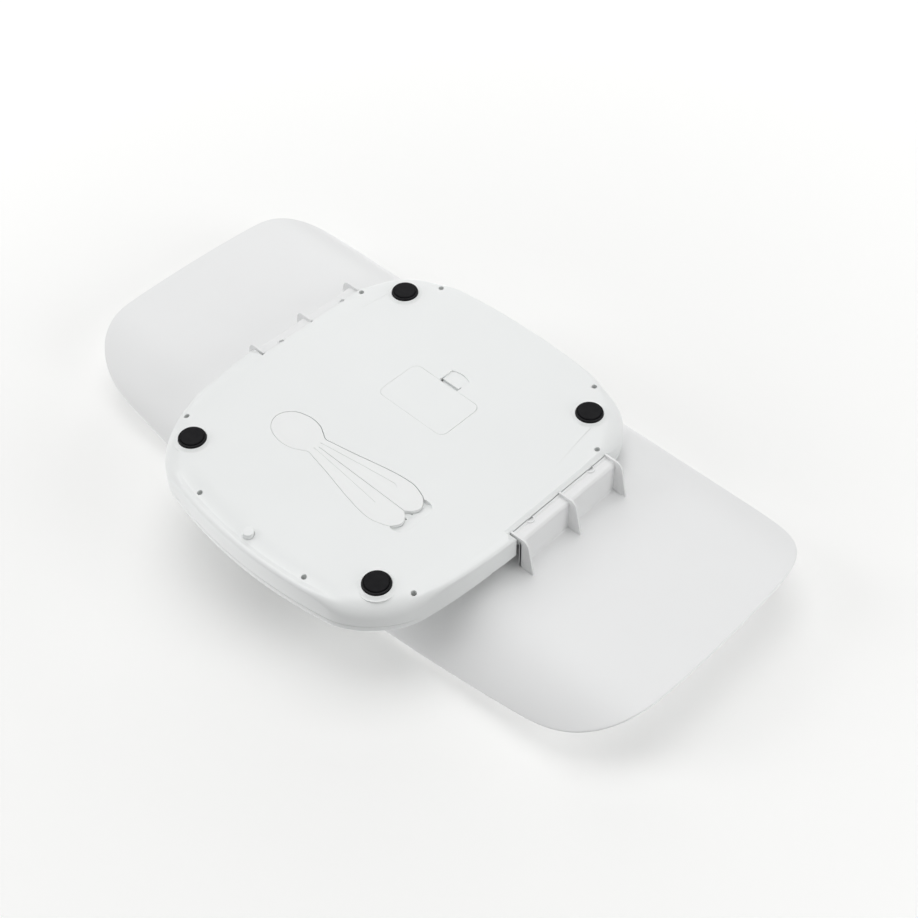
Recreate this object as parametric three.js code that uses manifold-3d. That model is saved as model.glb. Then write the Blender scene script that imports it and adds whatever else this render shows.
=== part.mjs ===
// Digital baby weighing scale: a base on four load-cell feet, and a long trough-shaped tray that slides
// on to the base from behind and grips its two sides with stiffened hooks.
// Millimetres. X runs along the tray, -Y is the side with the display, Z is up and the feet stand on Z = 0.
// The origin is on the table, in the middle of the whole scale.

import * as THREE from 'three';
import { mergeVertices } from 'three/addons/utils/BufferGeometryUtils.js';
import Module from 'manifold-3d';

const wasm = await Module();
wasm.setup();

// Fits
const fit = 0.3;                      // gap between pieces that touch
const slideFit = 0.5;                 // gap between pieces that slide past each other
const overshoot = 1;                  // how far a cutter runs past the face it cuts

// Sides of the round pieces: feet, keys and batteries, and the smaller ones
const roundSides = 20;
const screwSides = 10;

// Base
const baseHalfWidth = 156.5;
const baseFront = 172.5;
const baseBack = 167.5;
const baseFrontCorner = 48.5;
const baseBackCorner = 36;
const baseSquareness = 2;
const baseSideBowFront = 21.9;         // how far the front half of each side bows in at its corner
const baseSideBowBack = 19;            // and the back half
const baseFrontBow = 21.2;
const baseBackBow = 14.5;
const underside = 4.5;                // height of the flat underside above the table
const seamHeight = 26.5;
const topHeight = 40.2;
const housingWall = 2.4;

// Rim of the underside, measured inward from the outline
const valleyInset = 8;
const valleyNear = 3.5;               // from the valley's deepest line out to the lip
const valleyFar = 16;                 // and in to the flat of the underside
const valleyDepth = 2.7;              // at the front
const valleySideShare = 0.35;         // how deep the valley is along the sides, beside the front's depth
const lipReach = 3.4;
const lipRise = 3.2;
const cornerReach = 17;
const cornerRise = 15;

// Top shell
const shoulderRise = 4.4;
const shoulderReach = 1.6;
const shoulderHeight = 5.6;
const domeReach = 75;
const domeCurve = 1.95;               // higher numbers raise the dome sooner
const setback = 12;                   // how far the top shell stands back beside the hooks
const setbackRise = 6;                // how much higher its side goes there before it turns in
const setbackLedge = 4;               // thickness of the bottom shell's ledge there
const tongueWidth = 1.2;
const tongueDepth = 2.2;

// Feet and load cells
const footX = baseHalfWidth - 46.5;
const footY = (baseFront + baseBack) / 2 - 46;
const carrierRadius = 11.75;
const carrierHeight = 7.7;
const padRadius = 9.9;
const padDrop = 2;                    // how far the rubber stands below its carrier
const padDepth = 1.3;                 // how far the rubber is let into its carrier
const padRound = 1;
const collarWidth = 2.2;
const collarDrop = 0.8;
const wellWidth = 2.2;
const cellSize = 27;
const cellThickness = 2;
const cellRound = 6;

// Housing screws
const sideScrewFront = [baseHalfWidth - 21.1, 63 - baseFront];
const sideScrewBack = [baseHalfWidth - 16, baseBack - 69];
const backScrew = [baseHalfWidth - 64.9, baseBack - 15.6];
const frontScrew = [baseHalfWidth - 94.1, 16.3 - baseFront];
const screwHeadRadius = 2.1;
const screwHeadHeight = 1.8;
const screwShankRadius = 1.1;
const screwLength = 14;
const screwDepth = 14;                // height of the screw's head above the table
const bossWall = 1.9;

// Tray
const trayHalfLength = 321.5;
const trayHalfWidth = 155.8;
const trayCentreY = 42;
const trayCorner = 86;
const traySquareness = 3.1;           // exponent of its corner curves: 2 is a circle, more is squarer
const trayEndBow = 7.2;
const traySideBow = 18.5;
const trayThickness = 2.6;
const trayFloorHalf = 84;
const trayArc = 76.5;
const trayArcAngle = 71;              // degrees

// Tray hooks
const hookFront = -14;
const hookLength = 115.5;
const hookWall = 2.2;
const hookHeight = 10.2;              // height of the flange above the table
const hookReach = 9.5;                // how far the flange reaches in from the web
const hookRound = 3;
const beadWidth = 1.6;
const beadHeight = 0.8;
const gussetThickness = 1.8;
const gussetFoot = 13.6;              // how far a gusset reaches out along the tray
const gussetShoulder = 2.5;           // how far its edge runs past the web before it turns up
const gussetProud = 3.3;              // how far its edge stands below the flange
const gussetTurn = 5.8;               // size of the turn
const gussetCount = 3;
const notchOffset = 22.3;
const notchSpacing = 73;
const notchRadius = 2.6;
const recessGap = 1.2;                // room in front of the hook, in its recess
const recessSlope = 3;                // width of the sloped walls of the recess
const recessSlopeDepth = 4.9;
const slotReach = 7;                  // depth and length of the slot beside the hook's first gusset
const slotLength = 8;

// Display panel: everything on it lies in one plane that tips towards the front
const panelY = -139;
const panelZ = 37;
const panelTilt = 8.6;                // degrees
const windowWidth = 80;
const windowDepth = 30;
const windowThickness = 1.5;
const windowSink = 0.4;
const windowFrame = 6;
const windowView = 5;                 // width of the ledge under the window's ends
const windowLedge = 1.4;              // thickness of that ledge
const lcdWidth = windowWidth - 4;
const lcdDepth = windowDepth - 4;
const lcdThickness = 2.6;
const lcdFrameWall = 1.8;
const boardHalfWidth = windowWidth / 2 + 40;
const boardFront = 11;
const boardBack = 17;
const boardThickness = 1.6;
const boardDrop = 9.5;                // from the panel's plane down to the board
const boardTabHalf = 10;
const boardTabReach = 26;
const boardScrewX = windowWidth / 2 + 6;
const boardScrewLength = 7;
const boardPostRadius = 3;

// Keys
const keyX = windowWidth / 2 + 28;
const keyRadius = 7.8;
const keyProud = 0.4;
const keySkirt = 1.4;
const keySkirtDepth = 3.9;
const keySkirtHeight = 1.1;
const keyStemRadius = 2.5;
const keyTravel = 0.8;
const switchSize = 6;
const switchHeight = 1.8;
const plungerRadius = 1.6;
const plungerHeight = 0.8;

// Unit button, under the base
const unitY = -158;
const unitRadius = 4.9;
const unitDrop = 5.1;                 // how far it stands out of the valley
const unitSkirt = 1.6;

// Battery door and bay
const doorWest = -38;
const doorEast = 38.8;
const doorSouth = 20.2;
const doorNorth = 66.9;
const doorCorner = 7;
const doorThickness = 2.2;
const tabHalf = 6;
const tabX = 22;
const tabReach = 2.2;
const tabThickness = 1.3;
const latchHalf = 9.3;
const latchGap = 3.3;                 // open slot between the door and the latch's tongue
const latchSideGap = 1.1;             // and at the tongue's two ends
const latchTongue = 2.7;              // width of the tongue
const latchNose = 0.3;                // how far its nose stands out over the housing's floor
const latchRaise = 0.4;               // how far the tongue lies back from the underside
const latchThickness = 1.2;
const latchArmHalf = 4;               // half width of the arm that ties the tongue to its plate
const latchHold = 5;                  // how far the plate reaches over the door
const latchPlate = 3.6;
const scoopSide = 8.8;                // length of the straight sides of the finger scoop by the latch
const scoopBow = 2.7;                 // how far its end bows out beyond them
const scoopDeep = 1.6;                // depth beside the tongue
const scoopShallow = 1.1;             // and at its far end
const cellRadius = 5.25;
const cellLength = 44.5;
const cellCount = 3;
const cellPitch = 11;
const contactRoom = 3.8;              // room for the contacts at each end of the batteries
const contactThickness = 0.5;
const leafHalf = 4;
const leafWidth = 4;
const bayFront = 24.2;
const bayWall = 1.5;

// Stowed tool
const toolY = -57.5;
const toolThickness = 3;
const toolHead = 80;                  // how far its head reaches along +X from the middle
const toolTip = 80;                   // how far its prongs reach along -X
const toolNeck = 9.6;
const toolHeadHalf = 17.8;
const toolProngHalf = 24.6;
const toolSlit = 0.8;
const toolPanelDepth = 0.5;
const pocketFit = 0.45;
const fingerReach = 8;                // how far the finger dish reaches past the tool's tips
const fingerHalf = 17.7;
const fingerRound = 9;
const fingerLip = 0.9;                // its depth at the far edge
const stopRadius = 1.6;

// Wires
const cellLeadRadius = 1.5;
const supplyLeadRadius = 1.2;
const leadInboard = 16;               // how far inboard of the feet the long wires run
const leadBend = 18;                  // spacing of the places where a wire bends
const leadClimb = 9;                  // how far it has climbed there on its way to the board
const backLeadEnd = windowWidth / 2 + 32;
const frontLeadEnd = windowWidth / 2 + 20;
const supplyLeadEnd = windowWidth / 4;
const supplyLeadRun = 40;             // from the middle of the tool to each side of it

// Heights that follow from the sizes above
const floorTop = underside + housingWall;
const carrierBottom = padDrop;
const carrierTop = carrierBottom + carrierHeight;
const cellHeight = carrierTop + fit;
const footHole = carrierRadius + fit + 0.1;
const bossTop = screwDepth + screwHeadHeight + 3.4;
const trayUnder = topHeight + fit;
const recessTop = hookHeight + hookWall + fit;
const hookInner = baseHalfWidth + slideFit;
const hookOuter = hookInner + hookWall;
const flangeInner = hookInner - hookReach;
const recessInner = flangeInner - slideFit;
const recessFront = hookFront - recessGap;
const hookBack = hookFront + hookLength;
const doorTop = underside + doorThickness;
const bayHalf = cellLength / 2 + contactRoom;
const bayBack = bayFront + cellCount * cellPitch + 0.6;
const bayTop = doorTop + fit + 2 * cellRadius + 0.4;
const doorMiddle = (doorWest + doorEast) / 2;
const latchFront = doorNorth + latchGap;
const latchEnd = latchFront + latchTongue + 2 * fit;
const latchBottom = doorTop + fit;
const pocketTop = underside + toolThickness + fit;
const tilt = THREE.MathUtils.degToRad(panelTilt);
const ledgeUnder = -windowSink - windowThickness - fit - windowLedge;
const lcdTop = ledgeUnder - fit;

// Finishes
function finish(color, roughness, metalness = 0) {
  return new THREE.MeshStandardMaterial({ color, roughness, metalness });
}

const whitePlastic = finish(0xeef0ef, 0.42);
const trayPlastic = finish(0xebebeb, 0.5);
const blackPlastic = finish(0x18181a, 0.5);
const blackRubber = finish(0x202024, 0.8);
const clearLens = finish(0x22262a, 0.1);
const greyKey = finish(0xd4d7d8, 0.5);
const glassPanel = finish(0xa9b3a4, 0.25);
const boardGreen = finish(0x1f5a3a, 0.5);
const steel = finish(0xb4b6b8, 0.35, 0.9);
const nickel = finish(0xc9c7c0, 0.3, 0.9);
const batteryJacket = finish(0x3c6f9c, 0.35);
const wireRed = finish(0xa02a24, 0.6);
const wireBlack = finish(0x1c1c1c, 0.6);
const wireWhite = finish(0xdcdcd8, 0.6);

// Geometry helpers

// One closed, outward-facing solid from a three.js geometry.
function solid(geometry) {
  const bare = geometry.clone();
  for (const name of Object.keys(bare.attributes)) {
    if (name !== 'position') bare.deleteAttribute(name);
  }
  const merged = mergeVertices(bare, 1e-4);
  const points = merged.attributes.position.array;
  const index = merged.index.array;
  const faces = [];
  let volume = 0;
  for (let t = 0; t < index.length; t += 3) {
    const [a, b, c] = [index[t], index[t + 1], index[t + 2]];
    if (a === b || b === c || c === a) continue;
    faces.push(a, b, c);
    const [p, q, r] = [a, b, c].map((v) => new THREE.Vector3().fromArray(points, 3 * v));
    volume += p.dot(q.cross(r));
  }
  if (volume < 0) faces.reverse();
  return new wasm.Manifold(new wasm.Mesh({
    numProp: 3,
    vertProperties: Float32Array.from(points),
    triVerts: Uint32Array.from(faces),
  }));
}

function box(x0, x1, y0, y1, z0, z1) {
  const geometry = new THREE.BoxGeometry(x1 - x0, y1 - y0, z1 - z0);
  return geometry.translate((x0 + x1) / 2, (y0 + y1) / 2, (z0 + z1) / 2);
}

function rod(radius, z0, z1, x = 0, y = 0, sides = roundSides) {
  const geometry = new THREE.CylinderGeometry(radius, radius, z1 - z0, sides);
  return geometry.rotateX(Math.PI / 2).translate(x, y, (z0 + z1) / 2);
}

// A turned piece: [radius, height] points, spun round a vertical line through x, y.
function turned(points, x = 0, y = 0, sides = roundSides) {
  const profile = points.map(([r, z]) => new THREE.Vector2(r, z));
  return new THREE.LatheGeometry(profile, sides).rotateX(Math.PI / 2).translate(x, y, 0);
}

function prism(shape, z0, z1, curveSegments = 6) {
  const options = { depth: z1 - z0, bevelEnabled: false, curveSegments };
  return new THREE.ExtrudeGeometry(shape, options).translate(0, 0, z0);
}

function roundedRectangle(x0, x1, y0, y1, r) {
  const shape = new THREE.Shape();
  shape.moveTo(x0 + r, y0);
  shape.lineTo(x1 - r, y0);
  shape.absarc(x1 - r, y0 + r, r, -Math.PI / 2, 0);
  shape.lineTo(x1, y1 - r);
  shape.absarc(x1 - r, y1 - r, r, 0, Math.PI / 2);
  shape.lineTo(x0 + r, y1);
  shape.absarc(x0 + r, y1 - r, r, Math.PI / 2, Math.PI);
  shape.lineTo(x0, y0 + r);
  shape.absarc(x0 + r, y0 + r, r, Math.PI, 1.5 * Math.PI);
  return shape;
}

// A slab that lies across Y: the shape's x is X and its y is Z.
function crossSlab(shape, y0, y1, curveSegments = 6) {
  const geometry = prism(shape, y0, y1, curveSegments);
  return geometry.rotateX(Math.PI / 2).scale(1, -1, 1);
}

function joined(first, ...others) {
  return others.reduce((sum, other) => sum.add(other), first);
}

function cutBy(first, ...cutters) {
  return cutters.reduce((rest, cutter) => rest.subtract(cutter), first);
}

const { smoothstep } = THREE.MathUtils;
const onPanel = (geometry) => geometry.clone().rotateX(tilt).translate(0, panelY, panelZ);

// A rounded rectangle whose four sides bow outward, as evenly stepped points. Each size that may differ
// between the front half and the back half is a pair. A point carries how much of a corner it is, how deep
// the underside's valley is inboard of it, and how much of the stretch beside the hooks it belongs to.
function bowedOutline({ halfX, reach, corner, squareness, sideBow, endBow }, cornerSteps, sideSteps) {
  const squared = (v) => Math.sign(v) * Math.abs(v) ** (2 / squareness);
  const rim = (k, angle) => {
    const [x, y] = [[1, 1], [-1, 1], [-1, -1], [1, -1]][k % 4];
    const half = y > 0 ? 1 : 0;
    return new THREE.Vector2(
      x * (halfX - corner[half]) + corner[half] * squared(Math.cos(angle)),
      y * (reach[half] - corner[half]) + corner[half] * squared(Math.sin(angle)),
    );
  };
  const points = [];
  for (let k = 0; k < 4; k += 1) {
    for (let s = 0; s <= cornerSteps; s += 1) {
      points.push(rim(k, (k + s / cornerSteps) * Math.PI / 2));
    }
    const from = points[points.length - 1];
    const to = rim(k + 1, (k + 1) * Math.PI / 2);
    for (let s = 1; s < sideSteps; s += 1) {
      points.push(from.clone().lerp(to, s / sideSteps));
    }
  }
  return points.map((p) => {
    const half = p.y > 0 ? 1 : 0;
    const u = p.x / halfX;
    const v = p.y / reach[half];
    const bowed = new THREE.Vector2(p.x - sideBow[half] * u * v * v, p.y - endBow[half] * v * u * u);
    const cornerness = smoothstep(Math.abs(u * v), 0.55, 0.84);
    const atEnd = smoothstep(Math.abs(v), 0.5, 0.85);
    const valley = THREE.MathUtils.lerp(valleySideShare, 1 - half, atEnd) * (1 - cornerness);
    const beside = 1 - smoothstep(Math.abs(v), half ? 0.2 : 0.1, half ? 0.4 : 0.45);
    const hookness = beside * smoothstep(Math.abs(u), 0.8, 0.98);
    return Object.assign(bowed, { cornerness, valley, hookness });
  });
}

const baseOutline = bowedOutline({
  halfX: baseHalfWidth,
  reach: [baseFront, baseBack],
  corner: [baseFrontCorner, baseBackCorner],
  squareness: baseSquareness,
  sideBow: [baseSideBowFront, baseSideBowBack],
  endBow: [baseFrontBow, baseBackBow],
}, 5, 10);

// The point that lies an inset inward from the base's outline. Past the corner's own radius it heads for
// the middle, so that the rings never cross.
function insetPoint(i, inset) {
  const count = baseOutline.length;
  const before = baseOutline[(i + count - 1) % count];
  const after = baseOutline[(i + 1) % count];
  const along = after.clone().sub(before).normalize();
  const near = Math.min(inset, baseBackCorner * 0.7);
  const point = baseOutline[i].clone().add(new THREE.Vector2(-along.y, along.x).multiplyScalar(near));
  return point.multiplyScalar(1 - (inset - near) / point.length());
}

// A closed body from rings that follow the base's outline. Each ring gives its inset, its height and, if
// it stands back beside the hooks, by how much; the first and last rings are closed flat to the middle.
function ringBody(rings, shift = 0, lift = 0) {
  const count = baseOutline.length;
  const profile = [0, ...rings, 0].map((ring, j) => new THREE.Vector2(ring === 0 ? 0 : 1, j));
  const geometry = new THREE.LatheGeometry(profile, count);
  const position = geometry.attributes.position;
  for (let i = 0; i <= count; i += 1) {
    for (let j = 0; j < profile.length; j += 1) {
      const ring = rings[THREE.MathUtils.clamp(j - 1, 0, rings.length - 1)];
      const outline = i % count;
      const onAxis = profile[j].x === 0;
      const inset = ring.inset + shift + (ring.back ?? 0) * baseOutline[outline].hookness;
      const point = onAxis ? new THREE.Vector2() : insetPoint(outline, inset);
      const height = ring.flat ?? ring.height(baseOutline[outline]);
      position.setXYZ(i * profile.length + j, point.x, point.y, height + lift);
    }
  }
  return geometry;
}

// Height of the underside at an inset from the outline: flat, then a valley that deepens slowly and ends
// steeply, then a lip that rolls up into the side wall. Near the corners the valley and the lip give way
// to one broad round.
function undersideHeight(inset, { cornerness, valley }) {
  const reach = THREE.MathUtils.lerp(lipReach, cornerReach, cornerness);
  const rise = THREE.MathUtils.lerp(lipRise, cornerRise, cornerness);
  const away = inset - valleyInset;
  const across = Math.min(1, away > 0 ? away / valleyFar : -away / valleyNear);
  const roll = Math.max(0, 1 - inset / reach);
  const dip = valleyDepth * valley * Math.cos(across * Math.PI / 2) ** 2;
  return underside + dip + rise * (1 - Math.sqrt(1 - roll * roll));
}

// Height of the top shell at an inset. Beside the hooks its side goes straight up for longer.
function domeHeight(inset, hookness = 0) {
  const t = THREE.MathUtils.clamp(inset / domeReach, 0, 1);
  const start = seamHeight + shoulderHeight + setbackRise * hookness;
  return start + (topHeight - start) * (1 - (1 - t) ** domeCurve);
}

// Parts of the base

const undersideRings = (insets) => insets.map((inset) => ({
  inset,
  height: (point) => undersideHeight(inset, point),
}));
const rimRings = undersideRings([24, 19, 15, 11.5, 8, 6.2, 4.5, 3.2, 1.6, 0.5, 0]);
const innerRimRings = undersideRings([24, 15, 8, 3, 0]);

// Places a maker for both signs of X, and the four corners.
const bothSides = [1, -1];
const screwPlaces = [sideScrewFront, sideScrewBack, backScrew, frontScrew]
  .flatMap(([x, y]) => bothSides.map((side) => [side * x, y]));
const footPlaces = [[1, 1], [-1, 1], [-1, -1], [1, -1]].map(([sx, sy]) => [sx * footX, sy * footY]);

const doorShape = (grow) => roundedRectangle(
  doorWest - grow, doorEast + grow, doorSouth - grow, doorNorth + grow, doorCorner + grow,
);

// Half of the tool's outline, from its round head along +X to the tips of its prongs, as distance along
// X and half width. The head is a plain round.
function toolShape(grow) {
  const half = [
    [toolHead + grow, 0],
    [toolHead - 2 + grow, 7],
    [toolHead - 9, 14 + grow],
    [toolHead - 22, toolHeadHalf + grow],
    [toolHead - 35, toolHeadHalf - 1 + grow],
    [toolHead - 44, toolNeck + 2.9 + grow],
    [toolHead - 50, toolNeck + grow],
    [toolHead - 59, toolNeck + 1.4 + grow],
    [0, 15 + grow],
    [-20, 19.4 + grow],
    [-40, 23.2 + grow],
    [-55, toolProngHalf + grow],
    [16 - toolTip, toolProngHalf - 1.2 + grow],
    [5 - toolTip, 19 + grow],
    [-toolTip - grow, 11],
    [2 - toolTip - grow, 5],
    [7 - toolTip - grow, toolSlit / 2 + 0.3],
  ];
  const curve = new THREE.SplineCurve(half.map(([x, y]) => new THREE.Vector2(x, toolY + y)));
  const upper = curve.getPoints(24);
  const lower = upper.slice(1).reverse().map((p) => new THREE.Vector2(p.x, 2 * toolY - p.y));
  return new THREE.Shape([...upper, ...lower]);
}

// The finger scoop by the door's latch: straight sides, a bowed end and a floor that slopes up to it.
function latchScoop() {
  const [half, side] = [latchHalf + latchSideGap, latchEnd + scoopSide];
  const outline = new THREE.Shape();
  outline.moveTo(-half, latchEnd - overshoot);
  outline.lineTo(half, latchEnd - overshoot);
  outline.lineTo(half, side);
  outline.quadraticCurveTo(0, side + 2 * scoopBow, -half, side);
  const slope = new THREE.Shape();
  slope.moveTo(latchEnd - overshoot, underside - overshoot);
  slope.lineTo(latchEnd - overshoot, underside + scoopDeep);
  slope.lineTo(side + scoopBow, underside + scoopShallow);
  slope.lineTo(side + scoopBow + overshoot, underside - overshoot);
  const wedge = prism(slope, -half - overshoot, half + overshoot).rotateY(Math.PI / 2).rotateX(Math.PI / 2);
  return solid(prism(outline, -overshoot, floorTop)).intersect(solid(wedge));
}

const fingerShape = (grow) => roundedRectangle(
  -toolTip - fingerReach - grow,
  2 * fingerRound - toolTip - fingerReach + grow,
  toolY - fingerHalf - grow,
  toolY + fingerHalf + grow,
  fingerRound + grow,
);

// The dish at the tool's tips, with a floor that slopes up to its far edge.
function fingerDish() {
  const slope = new THREE.Shape();
  slope.moveTo(-toolTip - fingerReach - overshoot, -overshoot);
  slope.lineTo(-toolTip - fingerReach - overshoot, underside + fingerLip);
  slope.lineTo(-toolTip, pocketTop);
  slope.lineTo(-toolTip + 2 * fingerRound, pocketTop);
  slope.lineTo(-toolTip + 2 * fingerRound, -overshoot);
  const wedge = crossSlab(slope, toolY - fingerHalf - overshoot, toolY + fingerHalf + overshoot);
  return solid(prism(fingerShape(0), -overshoot, pocketTop)).intersect(solid(wedge));
}

function lowerHousing() {
  const outer = solid(ringBody([...rimRings, { inset: 0, flat: seamHeight }]));
  const ledgeHeight = seamHeight - setbackLedge - housingWall;
  const hollowRings = [
    ...innerRimRings,
    { inset: 0, flat: ledgeHeight },
    { inset: 0, back: setback, flat: ledgeHeight + 0.01 },
    { inset: 0, back: setback, flat: seamHeight + overshoot },
  ];
  const shell = outer.subtract(solid(ringBody(hollowRings, housingWall, housingWall)));

  const solids = [];
  const cutters = [];
  for (const [x, y] of screwPlaces) {
    solids.push(rod(screwHeadRadius + fit + bossWall, underside + valleyDepth, bossTop, x, y, screwSides));
    const headTop = screwDepth + screwHeadHeight + fit;
    cutters.push(rod(screwHeadRadius + fit, -overshoot, headTop, x, y, screwSides));
    cutters.push(rod(screwShankRadius + fit, screwDepth, bossTop + overshoot, x, y, screwSides));
  }
  for (const [x, y] of footPlaces) {
    solids.push(rod(footHole + wellWidth, underside - collarDrop + fit, cellHeight - fit, x, y));
    solids.push(rod(footHole + collarWidth, underside - collarDrop, underside + overshoot, x, y));
    cutters.push(rod(footHole, -overshoot, cellHeight + overshoot, x, y));
  }
  const recessHousing = box(
    recessInner - recessSlope - housingWall,
    baseHalfWidth + overshoot,
    recessFront - recessSlope - housingWall,
    hookBack + 24,
    underside,
    recessTop + housingWall,
  );
  const slotWall = baseHalfWidth - slotReach - housingWall;
  const slotY = [recessFront, recessFront + slotLength];
  const slotHousing = box(
    slotWall,
    baseHalfWidth + overshoot,
    slotY[0] - housingWall,
    slotY[1] + housingWall,
    recessTop,
    seamHeight,
  );
  const slot = box(baseHalfWidth - slotReach, baseHalfWidth + 20, ...slotY, 0, seamHeight + overshoot);
  for (const side of bothSides) {
    solids.push(toSide(recessHousing, side), toSide(slotHousing, side));
    cutters.push(toSide(slot, side));
  }

  // Battery bay: its box, the door's seat and the latch's pocket
  solids.push(prism(doorShape(housingWall), underside, doorTop + fit + housingWall));
  const bayOuter = bayHalf + bayWall;
  solids.push(box(-bayOuter, bayOuter, bayFront - bayWall, bayBack + bayWall, underside, bayTop + bayWall));
  cutters.push(prism(doorShape(fit), -overshoot, doorTop + fit));
  cutters.push(box(-bayHalf, bayHalf, bayFront, bayBack, underside, bayTop));
  for (const x of [doorMiddle - tabX, doorMiddle + tabX]) {
    const pocket = [doorSouth - tabReach - 1, bayFront + 0.5];
    const [wide, narrow] = [tabHalf + 2, tabHalf + fit];
    solids.push(box(x - wide, x + wide, pocket[0] - 1.5, pocket[1], floorTop - overshoot, doorTop + 5.4));
    cutters.push(box(x - narrow, x + narrow, pocket[0], pocket[1], doorTop - fit, doorTop + 4));
  }
  const latchPocket = bayBack + bayWall + fit;
  const latchTop = latchBottom + latchThickness + fit;
  const openHalf = latchHalf + latchSideGap;
  const scoopEnd = latchEnd + scoopSide + scoopBow;
  solids.push(box(-openHalf - 2, openHalf + 2, doorNorth, scoopEnd + 2, underside, floorTop + 1));
  const latchY = [latchPocket, doorNorth + overshoot];
  cutters.push(box(-openHalf, openHalf, ...latchY, underside - overshoot, latchTop));
  cutters.push(box(-openHalf, openHalf, doorNorth, latchEnd, -overshoot, latchTop + 3));

  // Tool pocket
  solids.push(prism(toolShape(pocketFit + 2), underside, pocketTop + 2));
  cutters.push(prism(toolShape(pocketFit), -overshoot, pocketTop));
  solids.push(prism(fingerShape(2), underside, pocketTop + 2));
  const stop = rod(stopRadius, underside, pocketTop + 1, 2.4 - toolTip, toolY, screwSides);
  const tipWall = box(
    -toolTip - 0.8,
    1.6 - toolTip,
    toolY - 3.6,
    toolY + 3.6,
    underside,
    pocketTop + 1,
  );

  // Unit button
  const guideTop = underside + valleyDepth + housingWall + 1;
  solids.push(rod(unitRadius + fit + 1.6, underside + valleyDepth - 1, guideTop, 0, unitY));
  cutters.push(rod(unitRadius + fit, -overshoot, guideTop + overshoot, 0, unitY));

  const within = outer.add(solid(collarPlate()));
  let body = joined(shell, ...solids.map((geometry) => solid(geometry).intersect(within)));
  body = cutBy(body, ...cutters.map(solid), latchScoop(), fingerDish(), hookRecess(1), hookRecess(-1));
  return joined(body, solid(stop), solid(tipWall));
}

// The same shape on one side of the base or on the other.
function toSide(geometry, side) {
  return side > 0 ? geometry : geometry.clone().rotateZ(Math.PI).scale(1, -1, 1);
}

// The recess that a hook runs in: open to the side and to the back, its other two walls sloped near the
// underside. A low pip stands in it at each notch of the hook.
function hookRecess(side) {
  const slopeTop = underside + recessSlopeDepth;
  const outward = baseHalfWidth + 20;
  const across = new THREE.Shape();
  across.moveTo(recessInner - recessSlope, -overshoot);
  across.lineTo(recessInner - recessSlope, underside);
  across.lineTo(recessInner, slopeTop);
  across.lineTo(recessInner, recessTop);
  across.lineTo(outward, recessTop);
  across.lineTo(outward, -overshoot);
  const along = new THREE.Shape();
  along.moveTo(recessFront - recessSlope, -overshoot);
  along.lineTo(recessFront - recessSlope, underside);
  along.lineTo(recessFront, slopeTop);
  along.lineTo(recessFront, recessTop);
  along.lineTo(baseBack, recessTop);
  along.lineTo(baseBack, -overshoot);
  const front = prism(along, 0, outward + overshoot).rotateY(Math.PI / 2).rotateX(Math.PI / 2);
  let recess = solid(crossSlab(across, recessFront - 2 * recessSlope, baseBack)).intersect(solid(front));
  const pipX = flangeInner - notchRadius - fit;
  const pip = rod(notchRadius, slopeTop - 0.5, recessTop + overshoot, pipX, 0, screwSides);
  for (const y of notchPlaces()) {
    recess = recess.subtract(solid(pip.clone().translate(0, y, 0)));
  }
  return side > 0 ? recess : recess.mirror([1, 0, 0]);
}

// A plate as wide as the feet's collars, so that they may stand a little below the underside.
function collarPlate() {
  const [x, front, back] = [baseHalfWidth - 20, 20 - baseFront, baseBack - 20];
  return box(-x, x, front, back, underside - collarDrop, underside + overshoot);
}

function notchPlaces() {
  return [hookFront + notchOffset, hookFront + notchOffset + notchSpacing];
}

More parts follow.
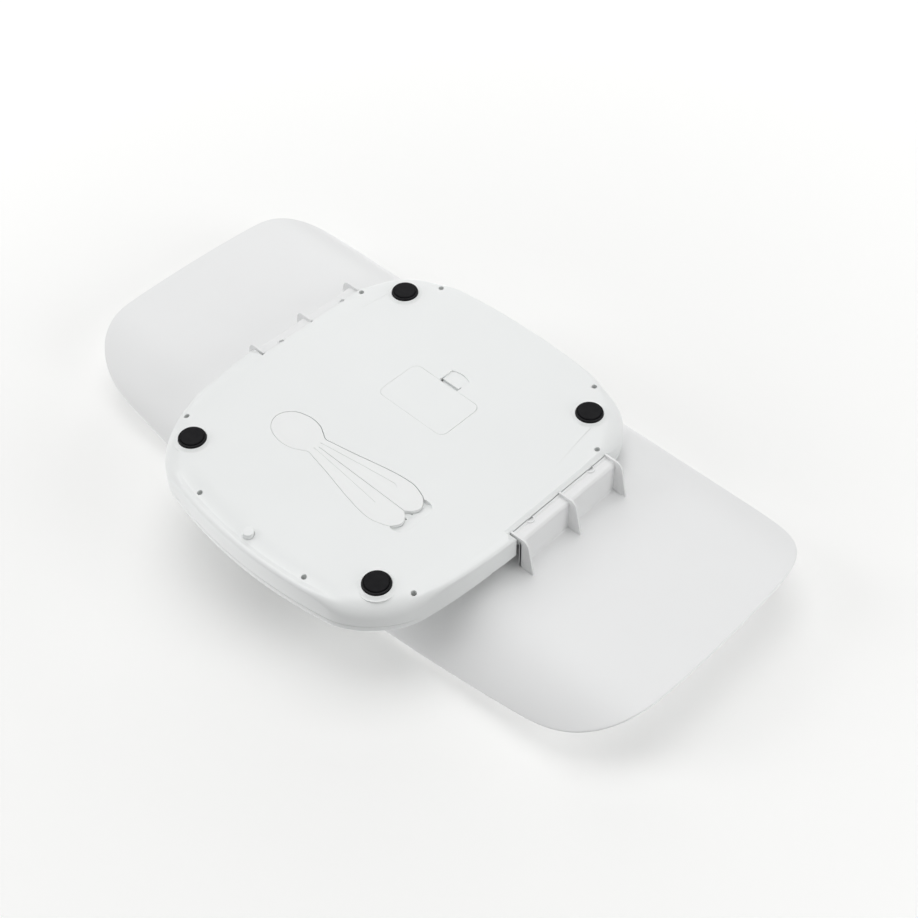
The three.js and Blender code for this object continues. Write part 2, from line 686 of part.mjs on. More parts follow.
function upperHousing() {
  const seam = seamHeight + fit;
  const domeRings = (insets) => insets.map((inset) => ({
    inset,
    back: setback * (1 - inset / domeReach),
    height: ({ hookness }) => domeHeight(inset, hookness),
  }));
  const wallTop = seamHeight + shoulderRise;
  const roundHeight = ({ hookness }) => wallTop + 0.6 * (domeHeight(shoulderReach, hookness) - wallTop);
  const shoulder = [
    { inset: 0, back: setback, flat: seam },
    { inset: 0, back: setback, flat: wallTop },
    { inset: shoulderReach * 0.3, back: setback, height: roundHeight },
    ...domeRings([shoulderReach]),
  ];
  const outer = solid(ringBody([...shoulder, ...domeRings([6, 14, 26, 44, domeReach])]));
  const hollowStart = { inset: 0, back: setback, flat: seam + housingWall - overshoot };
  const hollowRings = [hollowStart, ...shoulder.slice(2), ...domeRings([14, 36, domeReach])];
  const hollow = solid(ringBody(hollowRings, housingWall, -housingWall));
  const tongueRings = (shift, past) => [
    { inset: housingWall + fit + shift, back: setback, flat: seamHeight - tongueDepth - past },
    { inset: housingWall + fit + shift, back: setback, flat: seamHeight + shoulderHeight - 1 + past },
  ];
  const tongueInside = solid(ringBody(tongueRings(tongueWidth, overshoot)));
  const tongue = solid(ringBody(tongueRings(0, 0))).subtract(tongueInside);
  let body = outer.subtract(hollow).add(tongue);

  const solids = [];
  const cutters = [];
  for (const [x, y] of screwPlaces) {
    const screwEnd = screwDepth + screwHeadHeight + screwLength + 1;
    solids.push(rod(screwShankRadius + fit + bossWall, bossTop + fit, topHeight, x, y, screwSides));
    cutters.push(rod(screwShankRadius + fit, bossTop - overshoot, screwEnd, x, y, screwSides));
  }
  const centred = (x, y, z0, z1) => onPanel(box(-x, x, -y, y, z0, z1));
  const [x, y] = [windowWidth / 2, windowDepth / 2];
  const high = 6;
  solids.push(centred(x + windowFrame, y + windowFrame, ledgeUnder, 0));
  cutters.push(centred(x + fit, y + fit, ledgeUnder + windowLedge, high));
  cutters.push(centred(x - windowView, y - windowView + 1, ledgeUnder - overshoot, high));
  for (const side of bothSides) {
    const screwX = side * boardScrewX;
    const screwEnd = -boardDrop + boardScrewLength - 1;
    cutters.push(onPanel(rod(keyRadius + fit + 0.1, -12, high, side * keyX, 0)));
    solids.push(onPanel(rod(boardPostRadius, -boardDrop + fit, 0, screwX, 0, screwSides)));
    const screwHole = rod(screwShankRadius + fit, -boardDrop - overshoot, screwEnd, screwX, 0, screwSides);
    cutters.push(onPanel(screwHole));
  }
  body = joined(body, ...solids.map((geometry) => solid(geometry).intersect(outer)));
  return cutBy(body, ...cutters.map(solid));
}

// Tray

// The tray's cross-section, as its lower line and its upper line.
function trayShape() {
  const angle = THREE.MathUtils.degToRad(trayArcAngle);
  const shape = new THREE.Shape();
  const centre = trayUnder + trayArc;
  const down = -Math.PI / 2;
  shape.moveTo(trayCentreY - trayFloorHalf, trayUnder);
  shape.lineTo(trayCentreY + trayFloorHalf, trayUnder);
  shape.absarc(trayCentreY + trayFloorHalf, centre, trayArc, down, down + angle);
  shape.absarc(trayCentreY + trayFloorHalf, centre, trayArc - trayThickness, down + angle, down, true);
  shape.absarc(trayCentreY - trayFloorHalf, centre, trayArc - trayThickness, down, down - angle, true);
  shape.absarc(trayCentreY - trayFloorHalf, centre, trayArc, down - angle, down);
  return shape;
}

// A gusset crosses the whole hook: under the flange, round the web's corner and up to the tray.
function gussetShape() {
  const shoulder = new THREE.Vector2(hookInner + gussetShoulder, hookHeight - gussetProud);
  const turn = shoulder.clone().addScalar(1.3 * gussetTurn);
  const foot = new THREE.Vector2(hookOuter + gussetFoot, trayUnder + 1);
  const shape = new THREE.Shape();
  shape.moveTo(flangeInner, hookHeight + 1);
  shape.lineTo(flangeInner, shoulder.y);
  shape.lineTo(shoulder.x, shoulder.y);
  shape.quadraticCurveTo(shoulder.x + gussetTurn, shoulder.y, turn.x, turn.y);
  shape.quadraticCurveTo(shoulder.x + 1.6 * gussetTurn, shoulder.y + 3 * gussetTurn, foot.x, foot.y);
  shape.lineTo(hookInner, foot.y);
  shape.lineTo(hookInner, hookHeight + 1);
  return shape;
}

function hook() {
  const flange = new THREE.Shape();
  flange.moveTo(flangeInner, hookHeight);
  flange.lineTo(hookOuter - hookRound, hookHeight);
  flange.absarc(hookOuter - hookRound, hookHeight + hookRound, hookRound, -Math.PI / 2, 0);
  flange.lineTo(hookOuter, trayUnder + 1);
  flange.lineTo(hookInner, trayUnder + 1);
  flange.lineTo(hookInner, hookHeight + hookWall);
  flange.lineTo(flangeInner, hookHeight + hookWall);
  let body = solid(crossSlab(flange, hookFront, hookBack, 6));
  const beadZ = [hookHeight - beadHeight, hookHeight + 1];
  const bead = box(flangeInner, flangeInner + beadWidth, hookFront, hookBack, ...beadZ);
  body = body.add(solid(bead));
  for (const y of notchPlaces()) {
    const collar = rod(notchRadius + beadWidth, ...beadZ, flangeInner, y, screwSides);
    const collarSide = box(flangeInner, flangeInner + 10, y - 10, y + 10, 0, hookHeight + 2);
    body = body.add(solid(collar).intersect(solid(collarSide)));
    body = body.subtract(solid(rod(notchRadius, 0, hookHeight + hookWall + 1, flangeInner, y, screwSides)));
  }
  for (let g = 0; g < gussetCount; g += 1) {
    const y = hookFront + g * (hookLength - gussetThickness) / (gussetCount - 1);
    body = body.add(solid(crossSlab(gussetShape(), y, y + gussetThickness, 8)));
  }
  return body;
}

function tray() {
  const outline = bowedOutline({
    halfX: trayHalfLength,
    reach: [trayHalfWidth, trayHalfWidth],
    corner: [trayCorner, trayCorner],
    squareness: traySquareness,
    sideBow: [trayEndBow, trayEndBow],
    endBow: [traySideBow, traySideBow],
  }, 9, 10).map((p) => new THREE.Vector2(p.x, p.y + trayCentreY));
  const plan = solid(prism(new THREE.Shape(outline), 0, trayUnder + trayArc));
  const trough = prism(trayShape(), -trayHalfLength - overshoot, trayHalfLength + overshoot, 12);
  trough.rotateY(Math.PI / 2).rotateX(Math.PI / 2);
  const sheet = solid(trough).intersect(plan);
  const right = hook();
  const left = hook().mirror([1, 0, 0]);
  return sheet.add(right).add(left);
}

// Feet, load cells and screws

function footCarrier(x, y) {
  const rubberTop = carrierBottom + padDepth + fit;
  return solid(turned([
    [0, rubberTop],
    [padRadius + fit, rubberTop],
    [padRadius + fit, carrierBottom + 0.2],
    [padRadius + fit + 0.3, carrierBottom],
    [carrierRadius - 0.4, carrierBottom],
    [carrierRadius, carrierBottom + 0.4],
    [carrierRadius, carrierTop],
    [0, carrierTop],
  ], x, y));
}

function footPad(x, y) {
  const rubberTop = carrierBottom + padDepth;
  return solid(turned([
    [0, 0],
    [padRadius - padRound, 0],
    [padRadius - 0.3 * padRound, 0.3 * padRound],
    [padRadius, padRound],
    [padRadius, rubberTop],
    [0, rubberTop],
  ], x, y));
}

function loadCell(x, y) {
  const half = cellSize / 2;
  const shape = roundedRectangle(-half, half, -half, half, cellRound);
  const plate = solid(prism(shape, cellHeight, cellHeight + cellThickness, 4));
  const [low, high] = [cellHeight - overshoot, cellHeight + cellThickness + overshoot];
  const slot = (x0, x1, y0, y1) => solid(box(x0, x1, y0, y1, low, high));
  const inner = half - 5;
  const cell = cutBy(
    plate,
    slot(-inner, -inner + 1.4, -inner, inner),
    slot(inner - 1.4, inner, -inner, inner),
    slot(-inner, inner, -inner, -inner + 1.4),
  );
  return cell.rotate([0, 0, 45]).translate([x, y, 0]);
}

function housingScrew(x, y) {
  const head = screwDepth + screwHeadHeight;
  const cone = turned([
    [0, screwDepth],
    [screwHeadRadius - 0.5, screwDepth],
    [screwHeadRadius, screwDepth + 0.5],
    [screwHeadRadius, head],
    [screwShankRadius, head],
    [screwShankRadius, head + screwLength - 1.5],
    [0, head + screwLength],
  ], x, y, screwSides);
  const arm = screwHeadRadius * 0.62;
  const cross = [
    box(x - arm, x + arm, y - 0.3, y + 0.3, screwDepth - overshoot, screwDepth + 0.8),
    box(x - 0.3, x + 0.3, y - arm, y + arm, screwDepth - overshoot, screwDepth + 0.8),
  ];
  return cutBy(solid(cone), ...cross.map(solid));
}

// Display

function displayWindow() {
  const [x, y] = [windowWidth / 2, windowDepth / 2];
  return solid(onPanel(box(-x, x, -y, y, -windowSink - windowThickness, -windowSink)));
}


function lcdPanel() {
  const [x, y] = [lcdWidth / 2, lcdDepth / 2];
  return solid(onPanel(box(-x, x, -y, y, lcdTop - lcdThickness, lcdTop)));
}

function lcdFrame() {
  const [x, y] = [lcdWidth / 2 + fit, lcdDepth / 2 + fit];
  const [w, shelf] = [lcdFrameWall, 1.2];
  const low = -boardDrop + fit;
  const ring = solid(onPanel(box(-x - w, x + w, -y - w, y + w, low, lcdTop - 0.2)));
  const seat = solid(onPanel(box(-x, x, -y, y, lcdTop - lcdThickness - fit, lcdTop)));
  const through = solid(onPanel(box(-x + shelf, x - shelf, -y + shelf, y - shelf, low - overshoot, lcdTop)));
  return cutBy(ring, seat, through);
}

function elastomerStrip() {
  const length = lcdWidth / 2 - 4;
  const y = -lcdDepth / 2 + 2.4;
  return solid(onPanel(box(-length, length, y - 1, y + 1, -boardDrop + fit, lcdTop - lcdThickness - fit)));
}

function mainBoard() {
  const shape = new THREE.Shape();
  shape.moveTo(-boardHalfWidth, boardBack);
  shape.lineTo(-boardHalfWidth, -boardFront);
  shape.lineTo(-boardTabHalf, -boardFront);
  shape.lineTo(-boardTabHalf, -boardTabReach);
  shape.lineTo(boardTabHalf, -boardTabReach);
  shape.lineTo(boardTabHalf, -boardFront);
  shape.lineTo(boardHalfWidth, -boardFront);
  shape.lineTo(boardHalfWidth, boardBack);
  const low = -boardDrop - boardThickness - overshoot;
  const [radius, high] = [screwShankRadius + fit, -boardDrop + overshoot];
  const hole = (side) => rod(radius, low, high, side * boardScrewX, 0, screwSides);
  const plate = solid(onPanel(prism(shape, -boardDrop - boardThickness, -boardDrop)));
  return cutBy(plate, ...bothSides.map((side) => solid(onPanel(hole(side)))));
}

function boardScrew(x) {
  const seat = -boardDrop - boardThickness - fit;
  return solid(onPanel(turned([
    [0, seat - screwHeadHeight],
    [screwHeadRadius - 0.5, seat - screwHeadHeight],
    [screwHeadRadius, seat - screwHeadHeight + 0.5],
    [screwHeadRadius, seat],
    [screwShankRadius, seat],
    [screwShankRadius, seat + boardScrewLength - 1],
    [0, seat + boardScrewLength],
  ], x, 0, screwSides)));
}

// A push switch: a square body and a round plunger. It stands on the board, or hangs under it.
function keySwitch(x, y, seat, direction) {
  const half = switchSize / 2;
  const [top, tip] = [seat + direction * switchHeight, seat + direction * (switchHeight + plungerHeight)];
  const body = box(x - half, x + half, y - half, y + half, Math.min(seat, top), Math.max(seat, top));
  const plunger = rod(plungerRadius, Math.min(seat, tip), Math.max(seat, tip), x, y, screwSides);
  return solid(onPanel(body)).add(solid(onPanel(plunger)));
}

const switchSeat = -boardDrop + fit;
const switchTip = switchSeat + switchHeight + plungerHeight;
const unitSwitchSeat = -boardDrop - boardThickness - fit;
const unitSwitchY = (unitY - panelY) / Math.cos(tilt) + Math.tan(tilt) * (unitSwitchSeat - switchHeight);

function topKey(x) {
  const top = keyProud;
  const skirtTop = -keySkirtDepth;
  const skirtBottom = skirtTop - keySkirtHeight;
  const stem = switchTip + keyTravel + 0.2;
  return solid(onPanel(turned([
    [0, top],
    [keyRadius - 1.2, top - 0.05],
    [keyRadius - 0.4, top - 0.4],
    [keyRadius, top - 1],
    [keyRadius, skirtTop],
    [keyRadius + keySkirt, skirtTop],
    [keyRadius + keySkirt, skirtBottom],
    [keyStemRadius, skirtBottom],
    [keyStemRadius, Math.min(stem, skirtBottom)],
    [0, Math.min(stem, skirtBottom)],
  ], x, 0)));
}

function unitButton() {
  const bottom = underside + valleyDepth - unitDrop;
  const skirt = underside + valleyDepth + housingWall + 1 + fit;
  const switchDown = unitSwitchSeat - switchHeight - plungerHeight;
  const plungerZ = panelZ + Math.sin(tilt) * unitSwitchY + Math.cos(tilt) * switchDown;
  return solid(turned([
    [0, bottom],
    [unitRadius - 0.8, bottom],
    [unitRadius - 0.2, bottom + 0.3],
    [unitRadius, bottom + 0.9],
    [unitRadius, skirt],
    [unitRadius + unitSkirt, skirt],
    [unitRadius + unitSkirt, skirt + 1.2],
    [keyStemRadius, skirt + 1.2],
    [keyStemRadius, plungerZ - keyTravel - 0.5],
    [0, plungerZ - keyTravel - 0.5],
  ], 0, unitY));
}

// Battery door, batteries and contacts

// The door swings on its outer edge, and two toes on it reach in over the housing.
function batteryDoor() {
  let body = solid(prism(doorShape(0), underside, doorTop));
  const toeTop = doorTop + fit + tabThickness;
  for (const x of [doorMiddle - tabX, doorMiddle + tabX]) {
    const [west, east, south] = [x - tabHalf, x + tabHalf, doorSouth + 0.6];
    const neck = box(west, east, south, south + tabThickness, doorTop - 0.6, toeTop);
    const toe = box(west, east, doorSouth + fit - tabReach, doorSouth + 1.2, doorTop + fit, toeTop);
    body = body.add(solid(neck)).add(solid(toe));
  }
  return body;
}

// A tongue beside the door, tied by an arm to a plate that lies over the door.
function doorLatch() {
  const top = latchBottom + latchThickness;
  const back = doorNorth - latchHold;
  const tongueEnd = latchFront + latchTongue;
  const tongue = box(-latchHalf, latchHalf, latchFront, tongueEnd, underside + latchRaise, top);
  const nose = box(-latchHalf, latchHalf, tongueEnd - overshoot, tongueEnd + latchNose, floorTop + fit, top);
  const arm = box(-latchArmHalf, latchArmHalf, back, latchFront + overshoot, latchBottom, top);
  const plate = box(-latchHalf, latchHalf, back, back + latchPlate, latchBottom, top);
  return joined(...[tongue, nose, arm, plate].map(solid));
}

const batteryY = (k) => bayFront + 0.3 + cellPitch * (k + 0.5);
const batteryZ = doorTop + fit + cellRadius;

function battery(k) {
  const turn = k % 2 === 0 ? 1 : -1;
  const end = cellLength / 2;
  const profile = [
    [0, -end],
    [cellRadius - 0.8, -end],
    [cellRadius, -end + 0.6],
    [cellRadius, end - 1.6],
    [cellRadius - 0.8, end - 1],
    [1.9, end - 1],
    [1.9, end],
    [0, end],
  ];
  const geometry = turned(profile, 0, 0, roundSides).rotateY(turn * Math.PI / 2);
  return solid(geometry.translate(0, batteryY(k), batteryZ));
}

// A contact at one end of the bay: a plate against the end wall, with a bowed leaf for each battery, a
// long one at a minus end and a short one at a plus end.
function contact(side, first, last) {
  const wallX = side * (bayHalf - fit);
  const face = side * (bayHalf - fit - contactThickness);
  const half = cellRadius - 0.6;
  const x = [Math.min(wallX, face), Math.max(wallX, face)];
  const y = [batteryY(first) - half, batteryY(last) + half];
  let body = solid(box(...x, ...y, batteryZ - half, batteryZ + half));
  for (let k = first; k <= last; k += 1) {
    const minusAtThisEnd = (k % 2 === 0 ? 1 : -1) * side < 0;
    const rise = contactRoom - 2 * fit - contactThickness;
    const leaf = minusAtThisEnd ? leafShape(rise, leafHalf) : leafShape(rise, leafHalf / 2);
    const geometry = prism(leaf, batteryZ - leafWidth / 2, batteryZ + leafWidth / 2, 6);
    if (side > 0) geometry.scale(-1, 1, 1);
    body = body.add(solid(geometry.translate(face, batteryY(k), 0)));
  }
  return body;
}

// A leaf of the contact's own metal, bowed out along +X from a plate at X = 0.
function leafShape(rise, half) {
  const inner = half - 2 * contactThickness;
  const shape = new THREE.Shape();
  shape.moveTo(-0.1, -half);
  shape.quadraticCurveTo(2 * rise + 0.1, 0, -0.1, half);
  shape.lineTo(-0.1, inner);
  shape.quadraticCurveTo(2 * (rise - contactThickness), 0, -0.1, -inner);
  return shape;
}

function wireAlong(path, radius, sides, steps) {
  const section = new THREE.Shape(Array.from({ length: sides }, (_, k) => {
    const angle = 2 * Math.PI * k / sides;
    return new THREE.Vector2(radius * Math.cos(angle), radius * Math.sin(angle));
  }));
  return new THREE.ExtrudeGeometry(section, { extrudePath: path, steps, bevelEnabled: false });
}

// Stowed tool

function stowedTool() {
  const top = underside + toolThickness;
  let body = solid(prism(toolShape(0), underside, top));
  const slit = box(2 - toolTip, toolHead - 52, toolY - toolSlit / 2, toolY + toolSlit / 2, 0, top + 1);
  body = body.subtract(solid(slit));
  for (const side of bothSides) {
    const panel = new THREE.Shape();
    panel.moveTo(30, toolY + side * 4.2);
    panel.quadraticCurveTo(-10, toolY + side * 10.5, -46, toolY + side * 15.2);
    panel.quadraticCurveTo(-54, toolY + side * 13.5, -49, toolY + side * 9.6);
    panel.quadraticCurveTo(-10, toolY + side * 6, 30, toolY + side * 3.2);
    body = body.subtract(solid(prism(panel, 0, underside + toolPanelDepth, 8)));
  }
  return body;
}

// Wires: the hand-laid route of each, from a load cell or a battery contact to the back edge of the board

function panelPoint(x, y, z) {
  const point = new THREE.Vector3(x, y, z).applyAxisAngle(new THREE.Vector3(1, 0, 0), tilt);
  return point.add(new THREE.Vector3(0, panelY, panelZ));
}

function lead(points, radius) {
  const path = new THREE.CatmullRomCurve3(points);
  return solid(wireAlong(path, radius, 8, Math.ceil(path.getLength() / (6 * radius))));
}

const boardEdge = (x) => [
  panelPoint(x, boardBack + 8, -boardDrop - boardThickness),
  panelPoint(x, boardBack + fit, -boardDrop - 0.9),
];
const cellCorner = cellSize / Math.SQRT2 - 1.4;
const leadOverCell = cellHeight + cellThickness + fit + cellLeadRadius;
const leadOnFloor = floorTop + 2 * fit + cellLeadRadius;
const leadOverTool = pocketTop + 2 + 2 * fit + cellLeadRadius;

function backCellLead(side) {
  return lead([
    new THREE.Vector3(side * (footX - cellCorner + 2), footY - 2, leadOverCell),
    new THREE.Vector3(side * (footX - cellCorner - 6), footY - 12, leadOnFloor + 2),
    new THREE.Vector3(side * (footX - leadInboard), footY - 2.5 * leadBend, leadOnFloor),
    new THREE.Vector3(side * (footX - leadInboard), 0, leadOverTool),
    new THREE.Vector3(side * (footX - leadInboard), 3 * leadBend - footY, leadOverTool),
    new THREE.Vector3(side * (footX - leadBend), 2 * leadBend - footY, leadOverTool + 1),
    new THREE.Vector3(side * (backLeadEnd + 8), leadBend - footY, leadOnFloor + leadClimb),
    ...boardEdge(side * backLeadEnd),
  ], cellLeadRadius);
}

function frontCellLead(side) {
  return lead([
    new THREE.Vector3(side * (footX - cellCorner + 2), 3 - footY, leadOverCell),
    new THREE.Vector3(side * (footX - cellCorner - 8), 14 - footY, leadOnFloor + 5),
    new THREE.Vector3(side * (frontLeadEnd + 10), leadBend - footY, leadOnFloor + leadClimb / 2),
    ...boardEdge(side * frontLeadEnd),
  ], cellLeadRadius);
}

function supplyLead(side) {
  const bayEdge = bayHalf + bayWall + fit + supplyLeadRadius;
  const overTool = pocketTop + 2 + 3 * fit + supplyLeadRadius;
  return lead([
    new THREE.Vector3(side * bayEdge, bayFront + 6, batteryZ + 2),
    new THREE.Vector3(side * bayEdge, bayFront - 8, overTool + 2),
    new THREE.Vector3(side * (supplyLeadEnd + 6), toolY + supplyLeadRun, overTool),
    new THREE.Vector3(side * (supplyLeadEnd + 4), toolY, overTool),
    new THREE.Vector3(side * (supplyLeadEnd + 2), toolY - supplyLeadRun, overTool + 4),
    ...boardEdge(side * supplyLeadEnd),
  ], supplyLeadRadius);
}

// The object

const scale = new THREE.Group();

function add(name, manifold, material) {
  const { numProp, vertProperties, triVerts } = manifold.getMesh();
  const geometry = new THREE.BufferGeometry();
  const points = new Float32Array(vertProperties.length / numProp * 3);
  for (let v = 0; v < points.length / 3; v += 1) {
    points.set(vertProperties.subarray(v * numProp, v * numProp + 3), 3 * v);
  }
  geometry.setAttribute('position', new THREE.BufferAttribute(points, 3));
  geometry.setIndex(new THREE.BufferAttribute(Uint32Array.from(triVerts), 1));
  geometry.computeVertexNormals();
  const mesh = new THREE.Mesh(geometry, material);
  mesh.name = name;
  scale.add(mesh);
}

add('lower_housing', lowerHousing(), whitePlastic);
add('upper_housing', upperHousing(), whitePlastic);
add('tray', tray(), trayPlastic);

footPlaces.forEach(([x, y], k) => {
  add(`foot_carrier_${k + 1}`, footCarrier(x, y), blackPlastic);
  add(`foot_pad_${k + 1}`, footPad(x, y), blackRubber);
  add(`load_cell_${k + 1}`, loadCell(x, y), steel);
});
screwPlaces.forEach(([x, y], k) => add(`housing_screw_${k + 1}`, housingScrew(x, y), nickel));

add('display_window', displayWindow(), clearLens);
add('lcd_panel', lcdPanel(), glassPanel);
add('lcd_frame', lcdFrame(), blackPlastic);
add('elastomer_strip', elastomerStrip(), blackRubber);
add('main_board', mainBoard(), boardGreen);
bothSides.forEach((side, k) => add(`board_screw_${k + 1}`, boardScrew(side * boardScrewX), nickel));

add('power_button', topKey(-keyX), greyKey);
add('hold_button', topKey(keyX), greyKey);
add('unit_button', unitButton(), whitePlastic);
add('power_switch', keySwitch(-keyX, 0, switchSeat, 1), blackPlastic);
add('hold_switch', keySwitch(keyX, 0, switchSeat, 1), blackPlastic);
add('unit_switch', keySwitch(0, unitSwitchY, unitSwitchSeat, -1), blackPlastic);

add('battery_door', batteryDoor(), whitePlastic);
add('door_latch', doorLatch(), whitePlastic);
for (let k = 0; k < cellCount; k += 1) add(`battery_${k + 1}`, battery(k), batteryJacket);
add('contact_minus', contact(-1, 0, 0), nickel);
add('contact_bridge_left', contact(-1, 1, 2), nickel);
add('contact_bridge_right', contact(1, 0, 1), nickel);
add('contact_plus', contact(1, 2, 2), nickel);

add('stowed_tool', stowedTool(), whitePlastic);

bothSides.forEach((side, k) => {
  add(`back_cell_lead_${k + 1}`, backCellLead(side), wireWhite);
  add(`front_cell_lead_${k + 1}`, frontCellLead(side), wireWhite);
});
add('supply_lead_red', supplyLead(1), wireRed);
add('supply_lead_black', supplyLead(-1), wireBlack);

scale.position.y = (baseFront - trayCentreY - trayHalfWidth) / 2;

export default scale;
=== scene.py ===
from math import asin, copysign, cos, pi, radians, sin, sqrt

import bmesh
import bpy
from mathutils import Matrix, Vector


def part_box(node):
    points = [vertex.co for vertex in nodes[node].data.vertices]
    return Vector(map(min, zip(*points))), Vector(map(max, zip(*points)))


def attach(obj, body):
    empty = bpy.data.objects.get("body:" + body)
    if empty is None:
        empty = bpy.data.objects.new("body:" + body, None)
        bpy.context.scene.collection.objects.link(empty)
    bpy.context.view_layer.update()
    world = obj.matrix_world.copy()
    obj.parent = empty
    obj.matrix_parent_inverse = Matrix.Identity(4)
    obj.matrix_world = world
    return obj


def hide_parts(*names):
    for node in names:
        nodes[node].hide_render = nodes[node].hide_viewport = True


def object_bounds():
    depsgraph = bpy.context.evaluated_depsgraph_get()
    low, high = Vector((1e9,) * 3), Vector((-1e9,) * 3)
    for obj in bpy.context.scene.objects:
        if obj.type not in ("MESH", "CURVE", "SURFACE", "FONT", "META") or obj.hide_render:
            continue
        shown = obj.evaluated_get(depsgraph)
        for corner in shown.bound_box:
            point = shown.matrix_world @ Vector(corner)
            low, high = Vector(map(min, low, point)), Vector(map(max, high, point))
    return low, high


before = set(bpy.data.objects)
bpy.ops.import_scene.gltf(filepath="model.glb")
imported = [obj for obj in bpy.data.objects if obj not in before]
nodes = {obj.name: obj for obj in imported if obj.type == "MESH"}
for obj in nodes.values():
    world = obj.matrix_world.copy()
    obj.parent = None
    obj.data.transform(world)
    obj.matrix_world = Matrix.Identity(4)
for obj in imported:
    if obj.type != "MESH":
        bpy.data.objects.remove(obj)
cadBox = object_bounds()
print("frame loaded:", len(nodes), "nodes")

middleY = -12.65  # where the base's own middle lies in the frame
fit = 0.3
bothSides = (1, -1)
weldDistance, flatDistance, cutDistance = 1e-4, 1e-3, 1e-5  # what counts as one place, as level, as on a cut
sharpAngle = 32


# A dictionary of sizes or other settings, whose keys can be read as attributes
class Settings(dict):
    __getattr__ = dict.__getitem__


# Camera: the photograph looks up at the underside, so the camera stands below the feet
viewpoint = Settings(
    place=(-0.66797, -0.61090, -0.94417), right=(-0.71955, 0.69437, 0.00995),
    up=(0.51033, 0.53844, -0.67055), lens=61.27, sensor=36, reach=30,
)
lensData = bpy.data.cameras.new("photoCamera")
lensData.lens = viewpoint.lens
lensData.sensor_width = viewpoint.sensor
lensData.clip_end = viewpoint.reach
photoCamera = bpy.data.objects.new("photoCamera", lensData)
bpy.context.scene.collection.objects.link(photoCamera)
sideways, upwards = Vector(viewpoint.right), Vector(viewpoint.up)
turn = Matrix((sideways, upwards, sideways.cross(upwards))).transposed()
photoCamera.matrix_world = Matrix.Translation(viewpoint.place) @ turn.to_4x4()
bpy.context.scene.camera = photoCamera


# Materials
def newMaterial(name):
    material = bpy.data.materials.new(name)
    material.use_nodes = True
    tree = material.node_tree
    return material, tree, tree.nodes["Principled BSDF"]


def given(node, values):
    for name, value in values.items():
        node.inputs[name].default_value = value
    return node


def added(tree, kind):
    return tree.nodes.new(f"ShaderNode{kind}")


def noise(tree, scale, detail, roughness, stretch=(1, 1, 1)):
    place = added(tree, "TexCoord")
    mapping = given(added(tree, "Mapping"), {"Scale": stretch})
    texture = given(added(tree, "TexNoise"), {"Scale": scale, "Detail": detail, "Roughness": roughness})
    tree.links.new(place.outputs["Object"], mapping.inputs["Vector"])
    tree.links.new(mapping.outputs["Vector"], texture.inputs["Vector"])
    return texture.outputs["Fac"]


def between(tree, value, low, high, start=0.3, end=0.7):
    ends = {"From Min": start, "From Max": end, "To Min": low, "To Max": high}
    spread = given(added(tree, "MapRange"), ends)
    tree.links.new(value, spread.inputs["Value"])
    return spread.outputs["Result"]


def blended(tree, value, first, second):
    mix = added(tree, "Mix")
    mix.data_type = "RGBA"
    given(mix, {"A": (*first, 1), "B": (*second, 1)})
    tree.links.new(value, mix.inputs["Factor"])
    return mix.outputs["Result"]


smearFineness = 3.1  # how much finer the variation in gloss is than the variation in colour


def moulded(name, colour, shade, cloud, roughness, grain, strength, rest):
    material, tree, shader = newMaterial(name)
    tint = blended(tree, between(tree, noise(tree, cloud, 3, 0.5), 0, 1), colour, shade)
    tree.links.new(tint, shader.inputs["Base Color"])
    smear = noise(tree, cloud * smearFineness, 4, 0.6)
    tree.links.new(between(tree, smear, *roughness), shader.inputs["Roughness"])
    bump = given(added(tree, "Bump"), {"Strength": strength, "Distance": rest.get("grainDepth", 0.0001)})
    tree.links.new(noise(tree, grain, 2, 0.5, rest.get("stretch", (1, 1, 1))), bump.inputs["Height"])
    tree.links.new(bump.outputs["Normal"], shader.inputs["Normal"])
    given(shader, {"Metallic": rest.get("metal", 0), "Specular IOR Level": rest.get("specular", 0.5),
                   "Coat Weight": rest.get("coat", 0), "Coat Roughness": 0.1})
    return material


